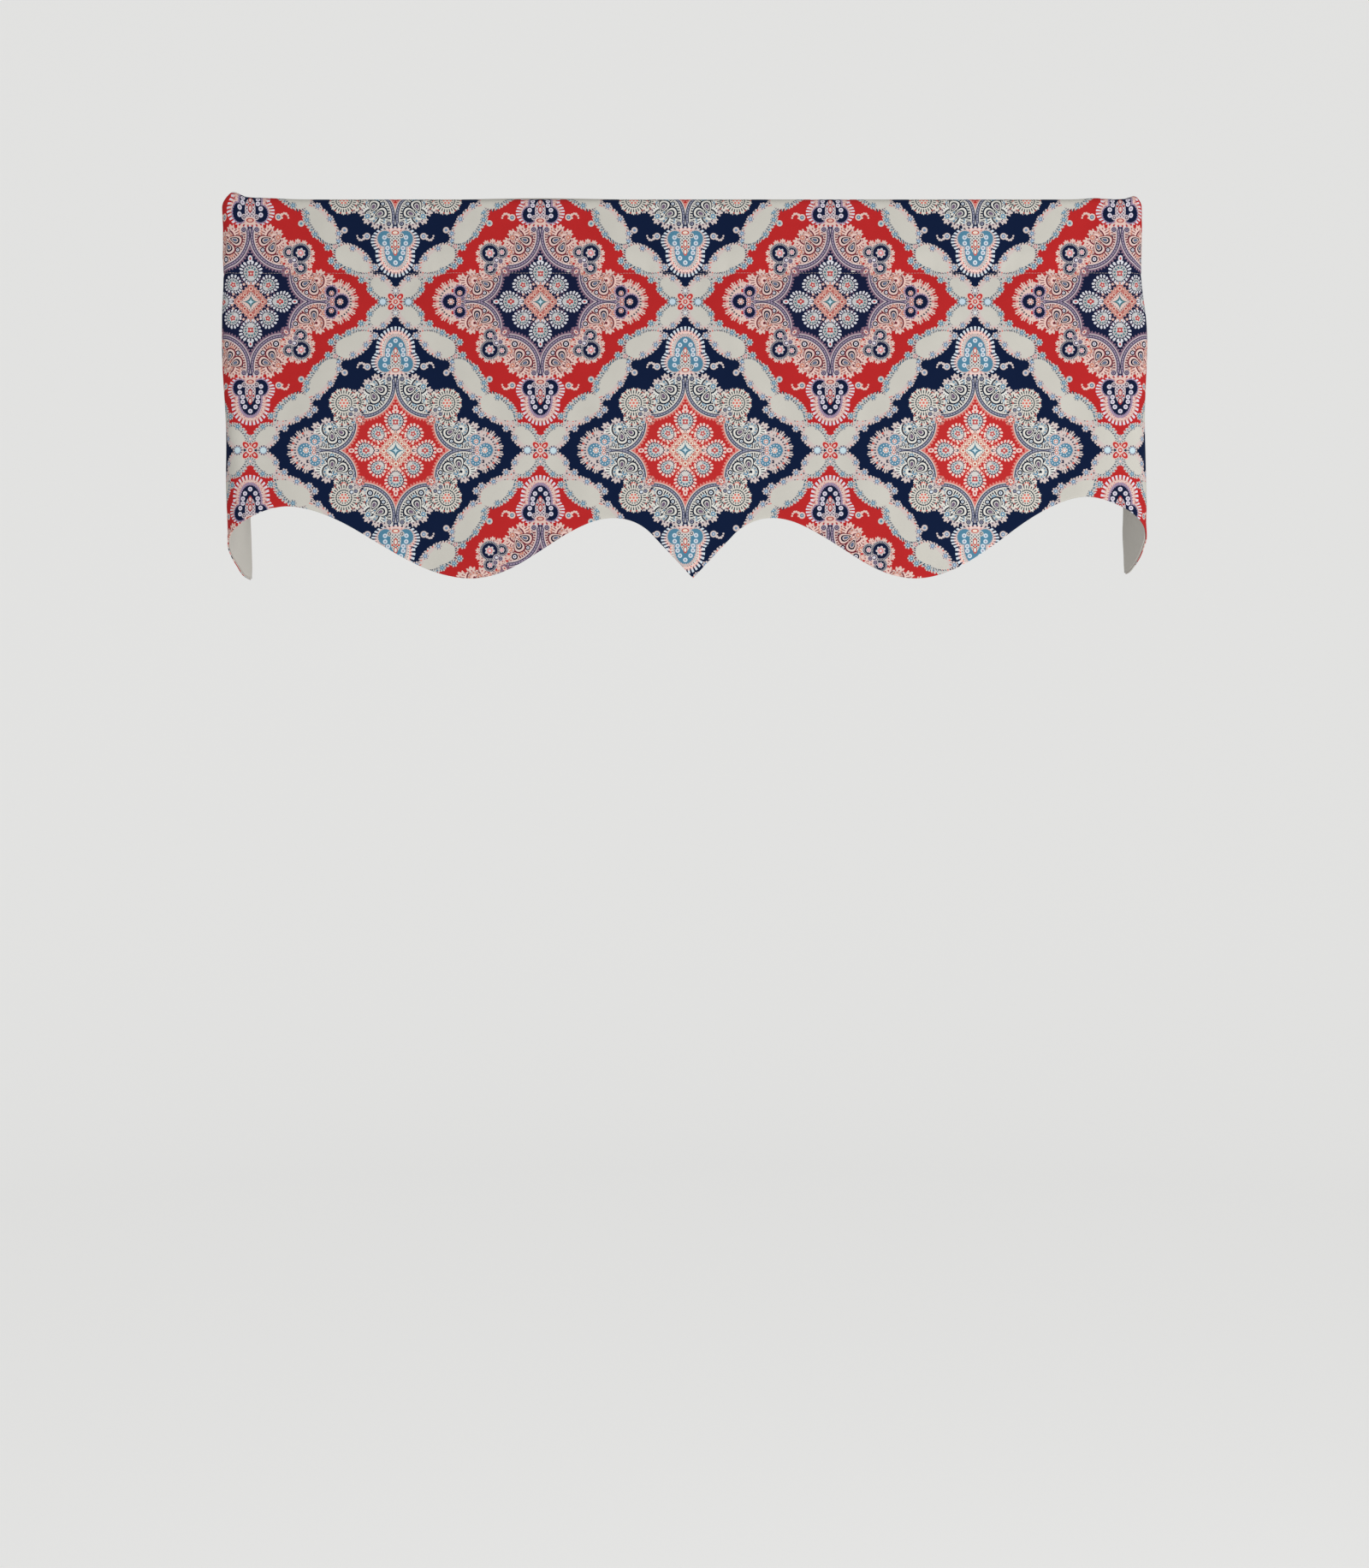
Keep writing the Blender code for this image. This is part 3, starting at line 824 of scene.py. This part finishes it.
def draw_shields(art):
    """The shield above and below each medallion."""
    trunk = art.about((0.0, 114.0), (13.0, 20.0))
    lobe = art.about((12.2, 101.0), (8.6, 9.4))
    for share, ink in ((1.12, "shield_edge"), (0.96, "shield")):
        art.paint(ink, art.toothed(trunk, share, 0.03, 40))
        art.paint(ink, art.toothed(lobe, share + 0.03, 0.04, 24))
    art.drop((0.0, 105.0), 90.0, 13.5, 6.2, ((1.0, "line"),))
    art.paint("band", art.grid, art.inside(art.about((0.0, 105.0), (6.2, 13.5)), 0.92))
    art.discs((7.2, 97.4), ((3.0, "line"), (1.9, "band"), (1.0, "line")))
    art.drop((0.0, 94.0), 0.0, 6.4, 3.6, ((1.0, "fringe"), (0.7, "rosette_line"), (0.45, "rosette")))
    art.drop((0.0, 107.0), 90.0, 4.6, 2.4, ((1.0, "rosette_line"), (0.6, "halo")))
    art.drop((0.0, 116.5), 90.0, 4.2, 2.4, ((1.0, "rosette_line"), (0.6, "halo")))
    art.discs((3.8, 110.6), ((1.4, "rosette_line"),))
    for centre in SHIELD_PEARLS:
        art.discs(centre, ((2.6, "pearl"), (1.2, "band_dot")))


def draw_end_trefoils(art):
    """The trefoil at each side of a medallion, with florets on it."""
    for centre, r, teeth in END_TREFOIL:
        edge = ("shield_edge", art.toothed, r + 1.6, 0.6, teeth)
        art.stack(art.about(centre), (), edge, ("shield", art.toothed, r, 0.4, teeth))
    for centre, r in END_FLORETS:
        polar = art.about(centre)
        art.paint("pearl", art.navy, art.beads(polar, r + 2.2, 0.7, 11))
        art.stack(
            polar, (), ("halo", art.petalled, r, r * 0.3, 8), ("rosette_line", art.beads, r * 0.56, 0.6, 8),
            ("pearl", art.inside, r * 0.25),
        )


def draw_junctions(art):
    """Bows, eyes and buds where four medallions meet."""
    for p, q in JUNCTIONS:
        for dp in EYES:
            if p + dp >= 0.0:
                eye = art.about((p + dp, q))
                art.stack(eye, (), ("edging", art.inside, 6.2), ("edge_dot", art.beads, 5.2, 0.8, 11))
                art.stack(eye, (), ("edge_floret", art.inside, 4.3), ("cross_heart", art.inside, 3.5))
        for dq in BUDS:
            art.discs((p, q + dq), ((5.0, "edging"), (2.5, "edge_floret"), (1.9, "halo")))
            art.paint("edge_dot", art.beads(art.about((p, q + dq)), 4.0, 0.7, 8))
        for dp, dq, turn in BOWS:
            art.drop((p + dp, q + dq), turn, 6.0, 4.0, ((1.0, "fringe"), (0.78, "bow_red"), (0.3, "fringe")))
        art.discs((p, q), ((4.6, "fringe"), (2.6, "bow_red"), (1.3, "rosette")))


def srgb(colour):
    """A colour from 0 to 255 as linear light, with full alpha."""
    shares = [value / 255.0 for value in colour]
    return (*[s / 12.92 if s <= 0.04045 else ((s + 0.055) / 1.055) ** 2.4 for s in shares], 1.0)


def palette(nodes, place, column):
    """A stepped ramp from an ink's place to its colour on one ground."""
    node = nodes.tree.nodes.new("ShaderNodeValToRGB")
    node.color_ramp.interpolation = "CONSTANT"
    stops = node.color_ramp.elements
    for index, entry in enumerate(INKS):
        stop = stops[index] if index < 2 else stops.new(index / len(INKS))
        stop.position = index / len(INKS)
        stop.color = srgb(entry[column])
    nodes.feed(node.inputs[0], place)
    return node.outputs[0]


def print_colour(nodes, along, drop):
    """The print's colour at a place of the flat cloth."""
    art = Print(nodes.tree, along, drop)
    draw_lattice(art)
    draw_sprigs(art)
    draw_skirts(art)
    arcs = [named(ARC_COLUMNS, row) for row in ARCS]
    for arc in arcs:
        arc["away"] = art.away(arc["centre"])
    for arc in arcs:
        arc["inside"] = art.less(arc["away"], arc["radius"])
    draw_fans(art, arcs)
    star = draw_star(art, arcs)
    origin = art.vector("LENGTH", art.place)
    draw_bands(art, arcs, origin)
    draw_fan_fillings(art)
    draw_lace(art, star, origin)
    draw_star_florets(art)
    draw_rosette(art)
    draw_diagonal_trefoils(art)
    draw_curls(art)
    draw_shields(art)
    draw_end_trefoils(art)
    draw_junctions(art)
    ink_place = art.scaled(art.ink, 1 / len(INKS), 0.5 / len(INKS))
    on_red = palette(art, ink_place, ON_RED)
    on_navy = palette(art, ink_place, ON_NAVY)
    mix = art.tree.nodes.new("ShaderNodeMix")
    mix.data_type = "RGBA"
    art.feed(mix.inputs[0], art.red)
    art.feed(mix.inputs[6], on_navy)
    art.feed(mix.inputs[7], on_red)
    return mix.outputs[2]


# How many fine steps each step of the grid is cut into, along the cloth and then down it.
FINE_COLUMNS = (
    (RETURN_COLUMNS, 4),
    (CORNER_COLUMNS, 3),
    (2 * FRONT_HALF_COLUMNS, 5),
    (CORNER_COLUMNS, 3),
    (RETURN_COLUMNS, 4),
)
FINE_ROWS = ((SEAM_ROWS, 1), (ROLL_ROWS, 3), (STRAIGHT_ROWS, 5), (PINCH_ROWS, 5), (SKIRT_ROWS, 14))

# Pucker beside the row of stitching, and the groove that the row lies in.
PUCKER_REACH = 0.010
FINE_PUCKER = {"height": 0.00050, "pitch": 0.0131, "sway": 1.7, "sway_pitch": 0.097}
BROAD_PUCKER = {"height": 0.00036, "pitch": 0.0293, "shift": 0.8}
GROOVE_DEPTH = 0.0006
GROOVE_REACH = 0.0018

# Slight unevenness of the cloth: slanted ripples that fade out towards the top edge.
RIPPLE_COLUMNS = ("height", "pitch_along", "pitch_down", "shift")
RIPPLES = ((0.00060, 0.083, 0.19, 0.0), (0.00040, 0.047, -0.13, 1.1))
RIPPLE_FADE_DROP = 0.03

# The turned seam at the hem: how far it reaches above the hem, how far it stands out, and over what it rises.
HEM_BAND = 0.011
HEM_RIDGE = 0.00035
HEM_RISE = 0.0035

# Small creases.
CREASE_COLUMNS = ("along", "drop", "turn", "half_length", "half_width", "height")
CREASES = (
    (-0.505, 0.030, 62.0, 0.034, 0.0050, -0.0011),
    (-0.478, 0.022, 48.0, 0.040, 0.0060, 0.0010),
    (-0.492, 0.062, 78.0, 0.030, 0.0050, 0.0009),
    (0.508, 0.026, -58.0, 0.036, 0.0050, -0.0012),
    (0.482, 0.024, -44.0, 0.042, 0.0060, 0.0011),
    (0.496, 0.066, -80.0, 0.028, 0.0050, 0.0008),
    (-0.515, 0.118, 84.0, 0.050, 0.0080, 0.0012),
    (0.512, 0.124, -86.0, 0.048, 0.0080, 0.0012),
    (-0.250, 0.140, 86.0, 0.070, 0.0110, 0.0007),
    (0.060, 0.150, 94.0, 0.080, 0.0120, 0.0008),
    (0.330, 0.136, 84.0, 0.060, 0.0100, 0.0007),
    (-0.400, 0.250, 72.0, 0.085, 0.0140, 0.0010),
    (0.415, 0.262, -70.0, 0.080, 0.0140, 0.0010),
    (-0.105, 0.300, 100.0, 0.070, 0.0130, 0.0008),
    (0.200, 0.320, 80.0, 0.070, 0.0130, 0.0008),
    (-0.600, 0.200, 80.0, 0.080, 0.0100, 0.0012),
    (0.590, 0.230, -76.0, 0.080, 0.0100, 0.0012),
)
CREASE_REACH = 2.5

# The cut edges are rounded by this share of the thickness.
EDGE_ROUNDING = 0.35


def fine_steps(spans):
    """Places on the grid, from its spans and how many fine steps each of their steps is cut into."""
    places = []
    start = 0
    for count, fine in spans:
        for step in range(count * fine):
            places.append(start + step / fine)
        start += count
    places.append(float(start))
    return places


def crease_height(along, drop):
    """Height of the small creases at a place of the cloth."""
    total = 0.0
    for row in CREASES:
        crease = named(CREASE_COLUMNS, row)
        right, low = along - crease["along"], drop - crease["drop"]
        if abs(right) + abs(low) > CREASE_REACH * crease["half_length"]:
            continue
        c, s = math.cos(math.radians(crease["turn"])), math.sin(math.radians(crease["turn"]))
        on = (right * c + low * s) / crease["half_length"]
        off = (low * c - right * s) / crease["half_width"]
        total += crease["height"] * math.exp(-on * on - off * off)
    return total


def fine_detail(along, drop):
    """Pucker and groove at the row of stitching, ripples, seam of the hem and small creases."""
    turn = 2.0 * math.pi
    away = drop - STITCH_DROP
    near = math.exp(-((away / PUCKER_REACH) ** 2))
    fine, broad = FINE_PUCKER, BROAD_PUCKER
    sway = fine["sway"] * math.sin(turn * along / fine["sway_pitch"])
    total = fine["height"] * near * math.sin(turn * along / fine["pitch"] + sway)
    total += broad["height"] * near * math.sin(turn * along / broad["pitch"] + broad["shift"])
    total -= GROOVE_DEPTH * math.exp(-((away / GROOVE_REACH) ** 2))
    calm = min(drop / RIPPLE_FADE_DROP, 1.0)
    for row in RIPPLES:
        ripple = named(RIPPLE_COLUMNS, row)
        angle = turn * (along / ripple["pitch_along"] + drop / ripple["pitch_down"]) + ripple["shift"]
        total += ripple["height"] * math.sin(angle) * calm
    total += HEM_RIDGE * smooth((drop - hem_drop(along) + HEM_BAND) / HEM_RISE)
    return total + crease_height(along, drop)


def flat_drop(row, drop):
    """How far down a place lies on the flat cloth, where the turn over the rod counts at its full length."""
    radius = POCKET_DEPTH / 2.0
    quarter = math.radians(90.0)
    if row <= SEAM_ROWS:
        return radius - radius * quarter - TOP_SEAM_FLAT * (1.0 - row / SEAM_ROWS)
    if row <= SEAM_ROWS + ROLL_ROWS:
        return radius - radius * (quarter - quarter * (row - SEAM_ROWS) / ROLL_ROWS)
    return drop


def scene_point(column, row, is_lining):
    """Place of a point of the fine cloth, and its place on the flat cloth: along and down from the top."""
    drop, depth, share = face_section(row)
    if is_lining:
        depth = lining_depth(drop, depth, share)
    if share > 0.0:
        along = plan_place(column, SKIRT_DEPTH, POINT_DROP)[2]
        hem = hem_drop(along) - (LINING_HEM_INSET if is_lining else 0.0)
        drop = STITCH_DROP + (hem - STITCH_DROP) * share
        ease = smooth((drop - STITCH_DROP) / SKIRT_EASE)
        depth += (SKIRT_DEPTH - STITCH_DEPTH) * ease - soft_folds(along, drop)
    detail = fine_detail(plan_place(column, depth, drop)[2], drop)
    depth += detail if is_lining and drop < STITCH_DROP else -detail
    x, y, along = plan_place(column, depth, drop)
    rises = TOP_RISES + LINING_RISES if is_lining else TOP_RISES
    return (x, y, top_rise(along, drop, rises) - drop), (along, flat_drop(row, drop))


def link(name, data):
    """A new object in the scene."""
    item = bpy.data.objects.new(name, data)
    bpy.context.scene.collection.objects.link(item)
    return item


def finished(name, shape, material):
    """An object with smooth shading from a bmesh, which is freed."""
    mesh = bpy.data.meshes.new(name)
    shape.to_mesh(mesh)
    shape.free()
    mesh.shade_smooth()
    mesh.materials.append(material)
    return link(name, mesh)


def hang_cloth(name, thickness, is_lining, materials):
    """A fine sheet with its place on the flat cloth as UV, thickened, with softly rounded edges."""
    columns = fine_steps(FINE_COLUMNS)
    rows = fine_steps(FINE_ROWS)
    places = [scene_point(column, row, is_lining) for row in rows for column in columns]
    width = len(columns)
    faces = []
    for r in range(len(rows) - 1):
        for c in range(width - 1):
            a = r * width + c
            quad = (a, a + width, a + width + 1, a + 1)
            faces.append(tuple(reversed(quad)) if is_lining else quad)
    mesh = bpy.data.meshes.new(name)
    mesh.from_pydata([point for point, _ in places], [], faces)
    layer = mesh.uv_layers.new(name="cloth")
    for loop in mesh.loops:
        layer.data[loop.index].uv = places[loop.vertex_index][1]
    mesh.shade_smooth()
    for material in materials:
        mesh.materials.append(material)
    cloth = link(name, mesh)
    solidify = cloth.modifiers.new("thickness", "SOLIDIFY")
    solidify.thickness = thickness
    solidify.offset = -1.0
    solidify.use_even_offset = True
    solidify.material_offset = len(materials) - 1
    bevel = cloth.modifiers.new("soft_edge", "BEVEL")
    bevel.width = thickness * EDGE_ROUNDING
    bevel.segments = 2
    bevel.limit_method = "ANGLE"
    bevel.angle_limit = math.radians(60.0)
    return cloth


# Looks of the cloths: pitch of the threads, colours in sRGB from 0 to 255, and scales of the noise.
FACE_PITCH = 0.00055
LINING_PITCH = 0.00045
REVERSE_COLOUR = (206, 198, 190)
LINING_COLOUR = (208, 204, 196)
THREAD_COLOURS = ((140, 130, 128), (196, 186, 180))
BLOTCH_SCALE = 28.0
SLUB_SCALES = (260.0, 2600.0)
FIBRE_SCALE = 900.0
WEAVE_BUMP = {"Strength": 0.5, "Distance": 0.00025}


def weave(nodes, along, drop, pitch):
    """Height of a plain weave, 0 to 1."""
    x = nodes.times(along, math.pi / pitch)
    y = nodes.times(drop, math.pi / pitch)
    sx = nodes.math("SINE", x)
    sy = nodes.math("SINE", y)
    over = nodes.scaled(nodes.times(sx, sy), 0.5, 0.5)
    cx = nodes.size_of(nodes.math("COSINE", x))
    cy = nodes.size_of(nodes.math("COSINE", y))
    warp = nodes.times(nodes.minus(1.0, cx), over)
    weft = nodes.times(nodes.minus(1.0, cy), nodes.minus(1.0, over))
    return nodes.math("MAXIMUM", warp, weft)


def noise(nodes, vector, scale, detail=2.0):
    node = nodes.tree.nodes.new("ShaderNodeTexNoise")
    nodes.feed(node.inputs["Vector"], vector)
    node.inputs["Scale"].default_value = scale
    node.inputs["Detail"].default_value = detail
    return node.outputs["Fac"]


def tint(nodes, colour, weave_shade_and_tone):
    """A colour multiplied by a grey factor."""
    node = nodes.tree.nodes.new("ShaderNodeMix")
    node.data_type = "RGBA"
    node.blend_type = "MULTIPLY"
    node.inputs[0].default_value = 1.0
    nodes.feed(node.inputs[6], colour)
    nodes.feed(node.inputs[7], weave_shade_and_tone)
    return node.outputs[2]


def new_material(name, **settings):
    """A material with constants on its shader's sockets: the material, its nodes and the shader."""
    material = bpy.data.materials.new(name)
    material.use_nodes = True
    shader = material.node_tree.nodes["Principled BSDF"]
    for socket, value in settings.items():
        shader.inputs[socket.replace("_", " ")].default_value = value
    return material, Nodes(material.node_tree), shader


def cotton(name, colour_of, pitch, roughness, sheen):
    """Woven cotton: its colour with painted shade in the low parts of the weave between the threads, made
    darker and lighter at random by soft blotches and by slubs.
    """
    material, nodes, shader = new_material(
        name,
        Roughness=roughness,
        Specular_IOR_Level=0.05,
        Sheen_Weight=sheen,
        Sheen_Roughness=0.35,
        Sheen_Tint=(0.9, 0.9, 0.92, 1.0),
    )
    tree = material.node_tree
    place = tree.nodes.new("ShaderNodeUVMap")
    place.uv_map = "cloth"
    along, drop = nodes.split(place.outputs[0])
    colour = colour_of(nodes, along, drop)
    flat = nodes.join(along, drop)
    threads = weave(nodes, along, drop, pitch)
    blotch = noise(nodes, flat, BLOTCH_SCALE)
    stretched = [nodes.times(value, scale) for value, scale in zip((along, drop), SLUB_SCALES)]
    slub = noise(nodes, nodes.join(*stretched), 1.0, 1.0)
    # Painted shade: the colour is darker where the weave is low between the threads, while the blotches and
    # slubs vary the tone at random.
    weave_shade_and_tone = nodes.scaled(threads, 0.10, 0.93)
    weave_shade_and_tone = nodes.plus(weave_shade_and_tone, nodes.scaled(blotch, 0.06, -0.03))
    weave_shade_and_tone = nodes.plus(weave_shade_and_tone, nodes.scaled(slub, 0.08, -0.04))
    nodes.feed(shader.inputs["Base Color"], tint(nodes, colour, weave_shade_and_tone))
    bump = tree.nodes.new("ShaderNodeBump")
    for socket, value in WEAVE_BUMP.items():
        bump.inputs[socket].default_value = value
    nodes.feed(bump.inputs["Height"], threads)
    nodes.feed(shader.inputs["Normal"], bump.outputs[0])
    return material


def plain(colour):
    """A colour that is the same at every place of the cloth."""
    return lambda nodes, along, drop: srgb(colour)


def thread():
    """Sewing thread with fine lighter and darker fibres."""
    material, nodes, shader = new_material("thread", Roughness=0.6, Sheen_Weight=0.2)
    place = material.node_tree.nodes.new("ShaderNodeTexCoord")
    fibre = noise(nodes, place.outputs["Object"], FIBRE_SCALE)
    ramp = material.node_tree.nodes.new("ShaderNodeValToRGB")
    for stop, colour in zip(ramp.color_ramp.elements, THREAD_COLOURS):
        stop.color = srgb(colour)
    nodes.feed(ramp.inputs[0], fibre)
    nodes.feed(shader.inputs["Base Color"], ramp.outputs[0])
    return material


# Stitches: the row starts this share of a pitch from the cloth's end.
STITCH_PITCH = 0.0034
STITCH_LENGTH = 0.0026
STITCH_START = 0.6
THREAD_RADIUS = 0.00022
THREAD_SIDES = 6

# Along a stitch: share of its length, thickness and how far it sinks from its height, both in thread radii.
STITCH_PROFILE = ((0.0, 0.35, 1.0), (0.18, 0.9, 0.35), (0.5, 1.0, 0.1), (0.82, 0.9, 0.35), (1.0, 0.35, 1.0))
STITCH_HEIGHT = 0.75


def place_on(path, lengths, distance):
    """The place at a distance along a path."""
    low = min(bisect.bisect_right(lengths, distance), len(lengths) - 1) - 1
    f = (distance - lengths[low]) / max(lengths[low + 1] - lengths[low], 1e-9)
    return path[low].lerp(path[low + 1], min(max(f, 0.0), 1.0))


def add_stitch(shape, start, end, side):
    """One stitch, sunk in at both ends; side is 1 on the face and -1 on the lining."""
    up = Vector((0.0, 0.0, 1.0))
    out = (end - start).normalized().cross(up).normalized() * side
    rings = []
    for share, thickness, sink in STITCH_PROFILE:
        centre = start.lerp(end, share) + out * THREAD_RADIUS * (STITCH_HEIGHT - sink)
        ring = []
        for step in range(THREAD_SIDES):
            turn = 2.0 * math.pi * step / THREAD_SIDES
            away = (up * math.cos(turn) + out * math.sin(turn)) * THREAD_RADIUS * thickness
            ring.append(shape.verts.new(centre + away))
        rings.append(ring)
    for low, high in zip(rings, rings[1:]):
        for step in range(THREAD_SIDES):
            after = (step + 1) % THREAD_SIDES
            shape.faces.new((low[step], low[after], high[after], high[step]))
    shape.faces.new(tuple(reversed(rings[0])))
    shape.faces.new(tuple(rings[-1]))


def build_stitches():
    """The row of thread that closes the pocket, on the face and on the lining."""
    shape = bmesh.new()
    row = SEAM_ROWS + ROLL_ROWS + STRAIGHT_ROWS + PINCH_ROWS
    for is_lining in (False, True):
        path = [Vector(scene_point(column, row, is_lining)[0]) for column in fine_steps(FINE_COLUMNS)]
        lengths = [0.0]
        for a, b in zip(path, path[1:]):
            lengths.append(lengths[-1] + (b - a).length)
        for index in range(int(lengths[-1] / STITCH_PITCH) - 1):
            distance = STITCH_PITCH * (index + STITCH_START)
            start = place_on(path, lengths, distance)
            end = place_on(path, lengths, distance + STITCH_LENGTH)
            add_stitch(shape, start, end, -1.0 if is_lining else 1.0)
    bmesh.ops.recalc_face_normals(shape, faces=shape.faces[:])
    return finished("pocket_stitches", shape, thread())


FACE_MATERIAL = cotton("printed_cotton_cloth", print_colour, FACE_PITCH, 0.85, 0.03)
REVERSE_MATERIAL = cotton("cotton_reverse", plain(REVERSE_COLOUR), FACE_PITCH, 0.9, 0.1)
LINING_MATERIAL = cotton("lining_cotton_cloth", plain(LINING_COLOUR), LINING_PITCH, 0.9, 0.1)
face = hang_cloth("valance_face", FACE_THICKNESS, False, (FACE_MATERIAL, REVERSE_MATERIAL))
lining = hang_cloth("valance_lining", LINING_THICKNESS, True, (LINING_MATERIAL,))
stitches = build_stitches()

for piece in (face, lining, stitches):
    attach(piece, "root")
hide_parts("face_panel")
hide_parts("lining")

# Stage: the floor's height, the dome's radius and top, and the curve between the two.
FLOOR_Z = -2.3
FLAT_RADIUS = 3.0
DOME_RADIUS = 9.0
DOME_TOP = 12.0
FLOOR_CURVE = 3.0
DOME_SIDES = 72
QUARTER_STEPS = 12
PAPER_COLOUR = (0.80, 0.80, 0.79, 1.0)
PAPER_GLOW = 0.42
WORLD_STRENGTH = 0.48

# Lights: place, target, side of the square and power.
LIGHTS = {
    "key": ((1.9, -2.4, -1.25), (0.0, 0.0, -0.42), 1.8, 70.0),
    "fill": ((-2.2, -2.4, -0.9), (0.0, 0.0, -0.30), 2.0, 20.0),
}

# Camera, level and square to the front.
CAMERA_PLACE = (0.001, -2.1985, -0.6674)
CAMERA_LENS = 44.15
SENSOR_WIDTH = 36.0


def build_stage():
    """A pale floor that curves up into a pale dome all round; it takes no light from the cloth."""
    quarter = [math.radians(90.0) * step / QUARTER_STEPS for step in range(QUARTER_STEPS + 1)]
    spring = FLOOR_Z + FLOOR_CURVE
    profile = [(0.0, FLOOR_Z), (FLAT_RADIUS, FLOOR_Z)]
    for angle in quarter:
        radius = DOME_RADIUS - FLOOR_CURVE + FLOOR_CURVE * math.sin(angle)
        profile.append((radius, FLOOR_Z + FLOOR_CURVE * (1.0 - math.cos(angle))))
    for angle in quarter[1:]:
        profile.append((DOME_RADIUS * math.cos(angle), spring + (DOME_TOP - spring) * math.sin(angle)))
    shape = bmesh.new()
    turns = [2.0 * math.pi * side / DOME_SIDES for side in range(DOME_SIDES)]
    rings = []
    for radius, z in profile:
        if radius < 1e-6:
            rings.append([shape.verts.new((0.0, 0.0, z))] * DOME_SIDES)
        else:
            rings.append([shape.verts.new((radius * math.cos(t), radius * math.sin(t), z)) for t in turns])
    for low, high in zip(rings, rings[1:]):
        for side in range(DOME_SIDES):
            after = (side + 1) % DOME_SIDES
            corners = (low[side], low[after], high[after], high[side])
            shape.faces.new(list(dict.fromkeys(corners)))
    bmesh.ops.recalc_face_normals(shape, faces=shape.faces[:])
    bmesh.ops.reverse_faces(shape, faces=shape.faces[:])
    paper, _, _ = new_material(
        "studio_paper",
        Base_Color=PAPER_COLOUR,
        Roughness=0.9,
        Specular_IOR_Level=0.1,
        Emission_Color=PAPER_COLOUR,
        Emission_Strength=PAPER_GLOW,
    )
    floor = finished("studio_floor", shape, paper)
    floor.visible_diffuse = False
    floor.visible_glossy = False
    floor.visible_shadow = False


def add_light(name, place, target, size, power):
    """A soft square light that the camera doesn't see."""
    data = bpy.data.lights.new(name, "AREA")
    data.shape = "SQUARE"
    data.size = size
    data.energy = power
    light = link(name, data)
    light.location = place
    light.rotation_euler = (Vector(target) - Vector(place)).to_track_quat("-Z", "Y").to_euler()
    light.visible_camera = False


def add_world():
    """Even white light from all round."""
    world = bpy.data.worlds.new("studio")
    world.use_nodes = True
    background = world.node_tree.nodes["Background"]
    background.inputs["Color"].default_value = (1.0, 1.0, 1.0, 1.0)
    background.inputs["Strength"].default_value = WORLD_STRENGTH
    bpy.context.scene.world = world


def add_camera():
    data = bpy.data.cameras.new("camera")
    data.lens = CAMERA_LENS
    data.sensor_width = SENSOR_WIDTH
    camera = link("camera", data)
    camera.location = CAMERA_PLACE
    camera.rotation_euler = (math.radians(90.0), 0.0, 0.0)
    bpy.context.scene.camera = camera


build_stage()
for name, settings in LIGHTS.items():
    add_light(name, *settings)
add_world()
add_camera()
bpy.context.scene.view_settings.view_transform = "Standard"
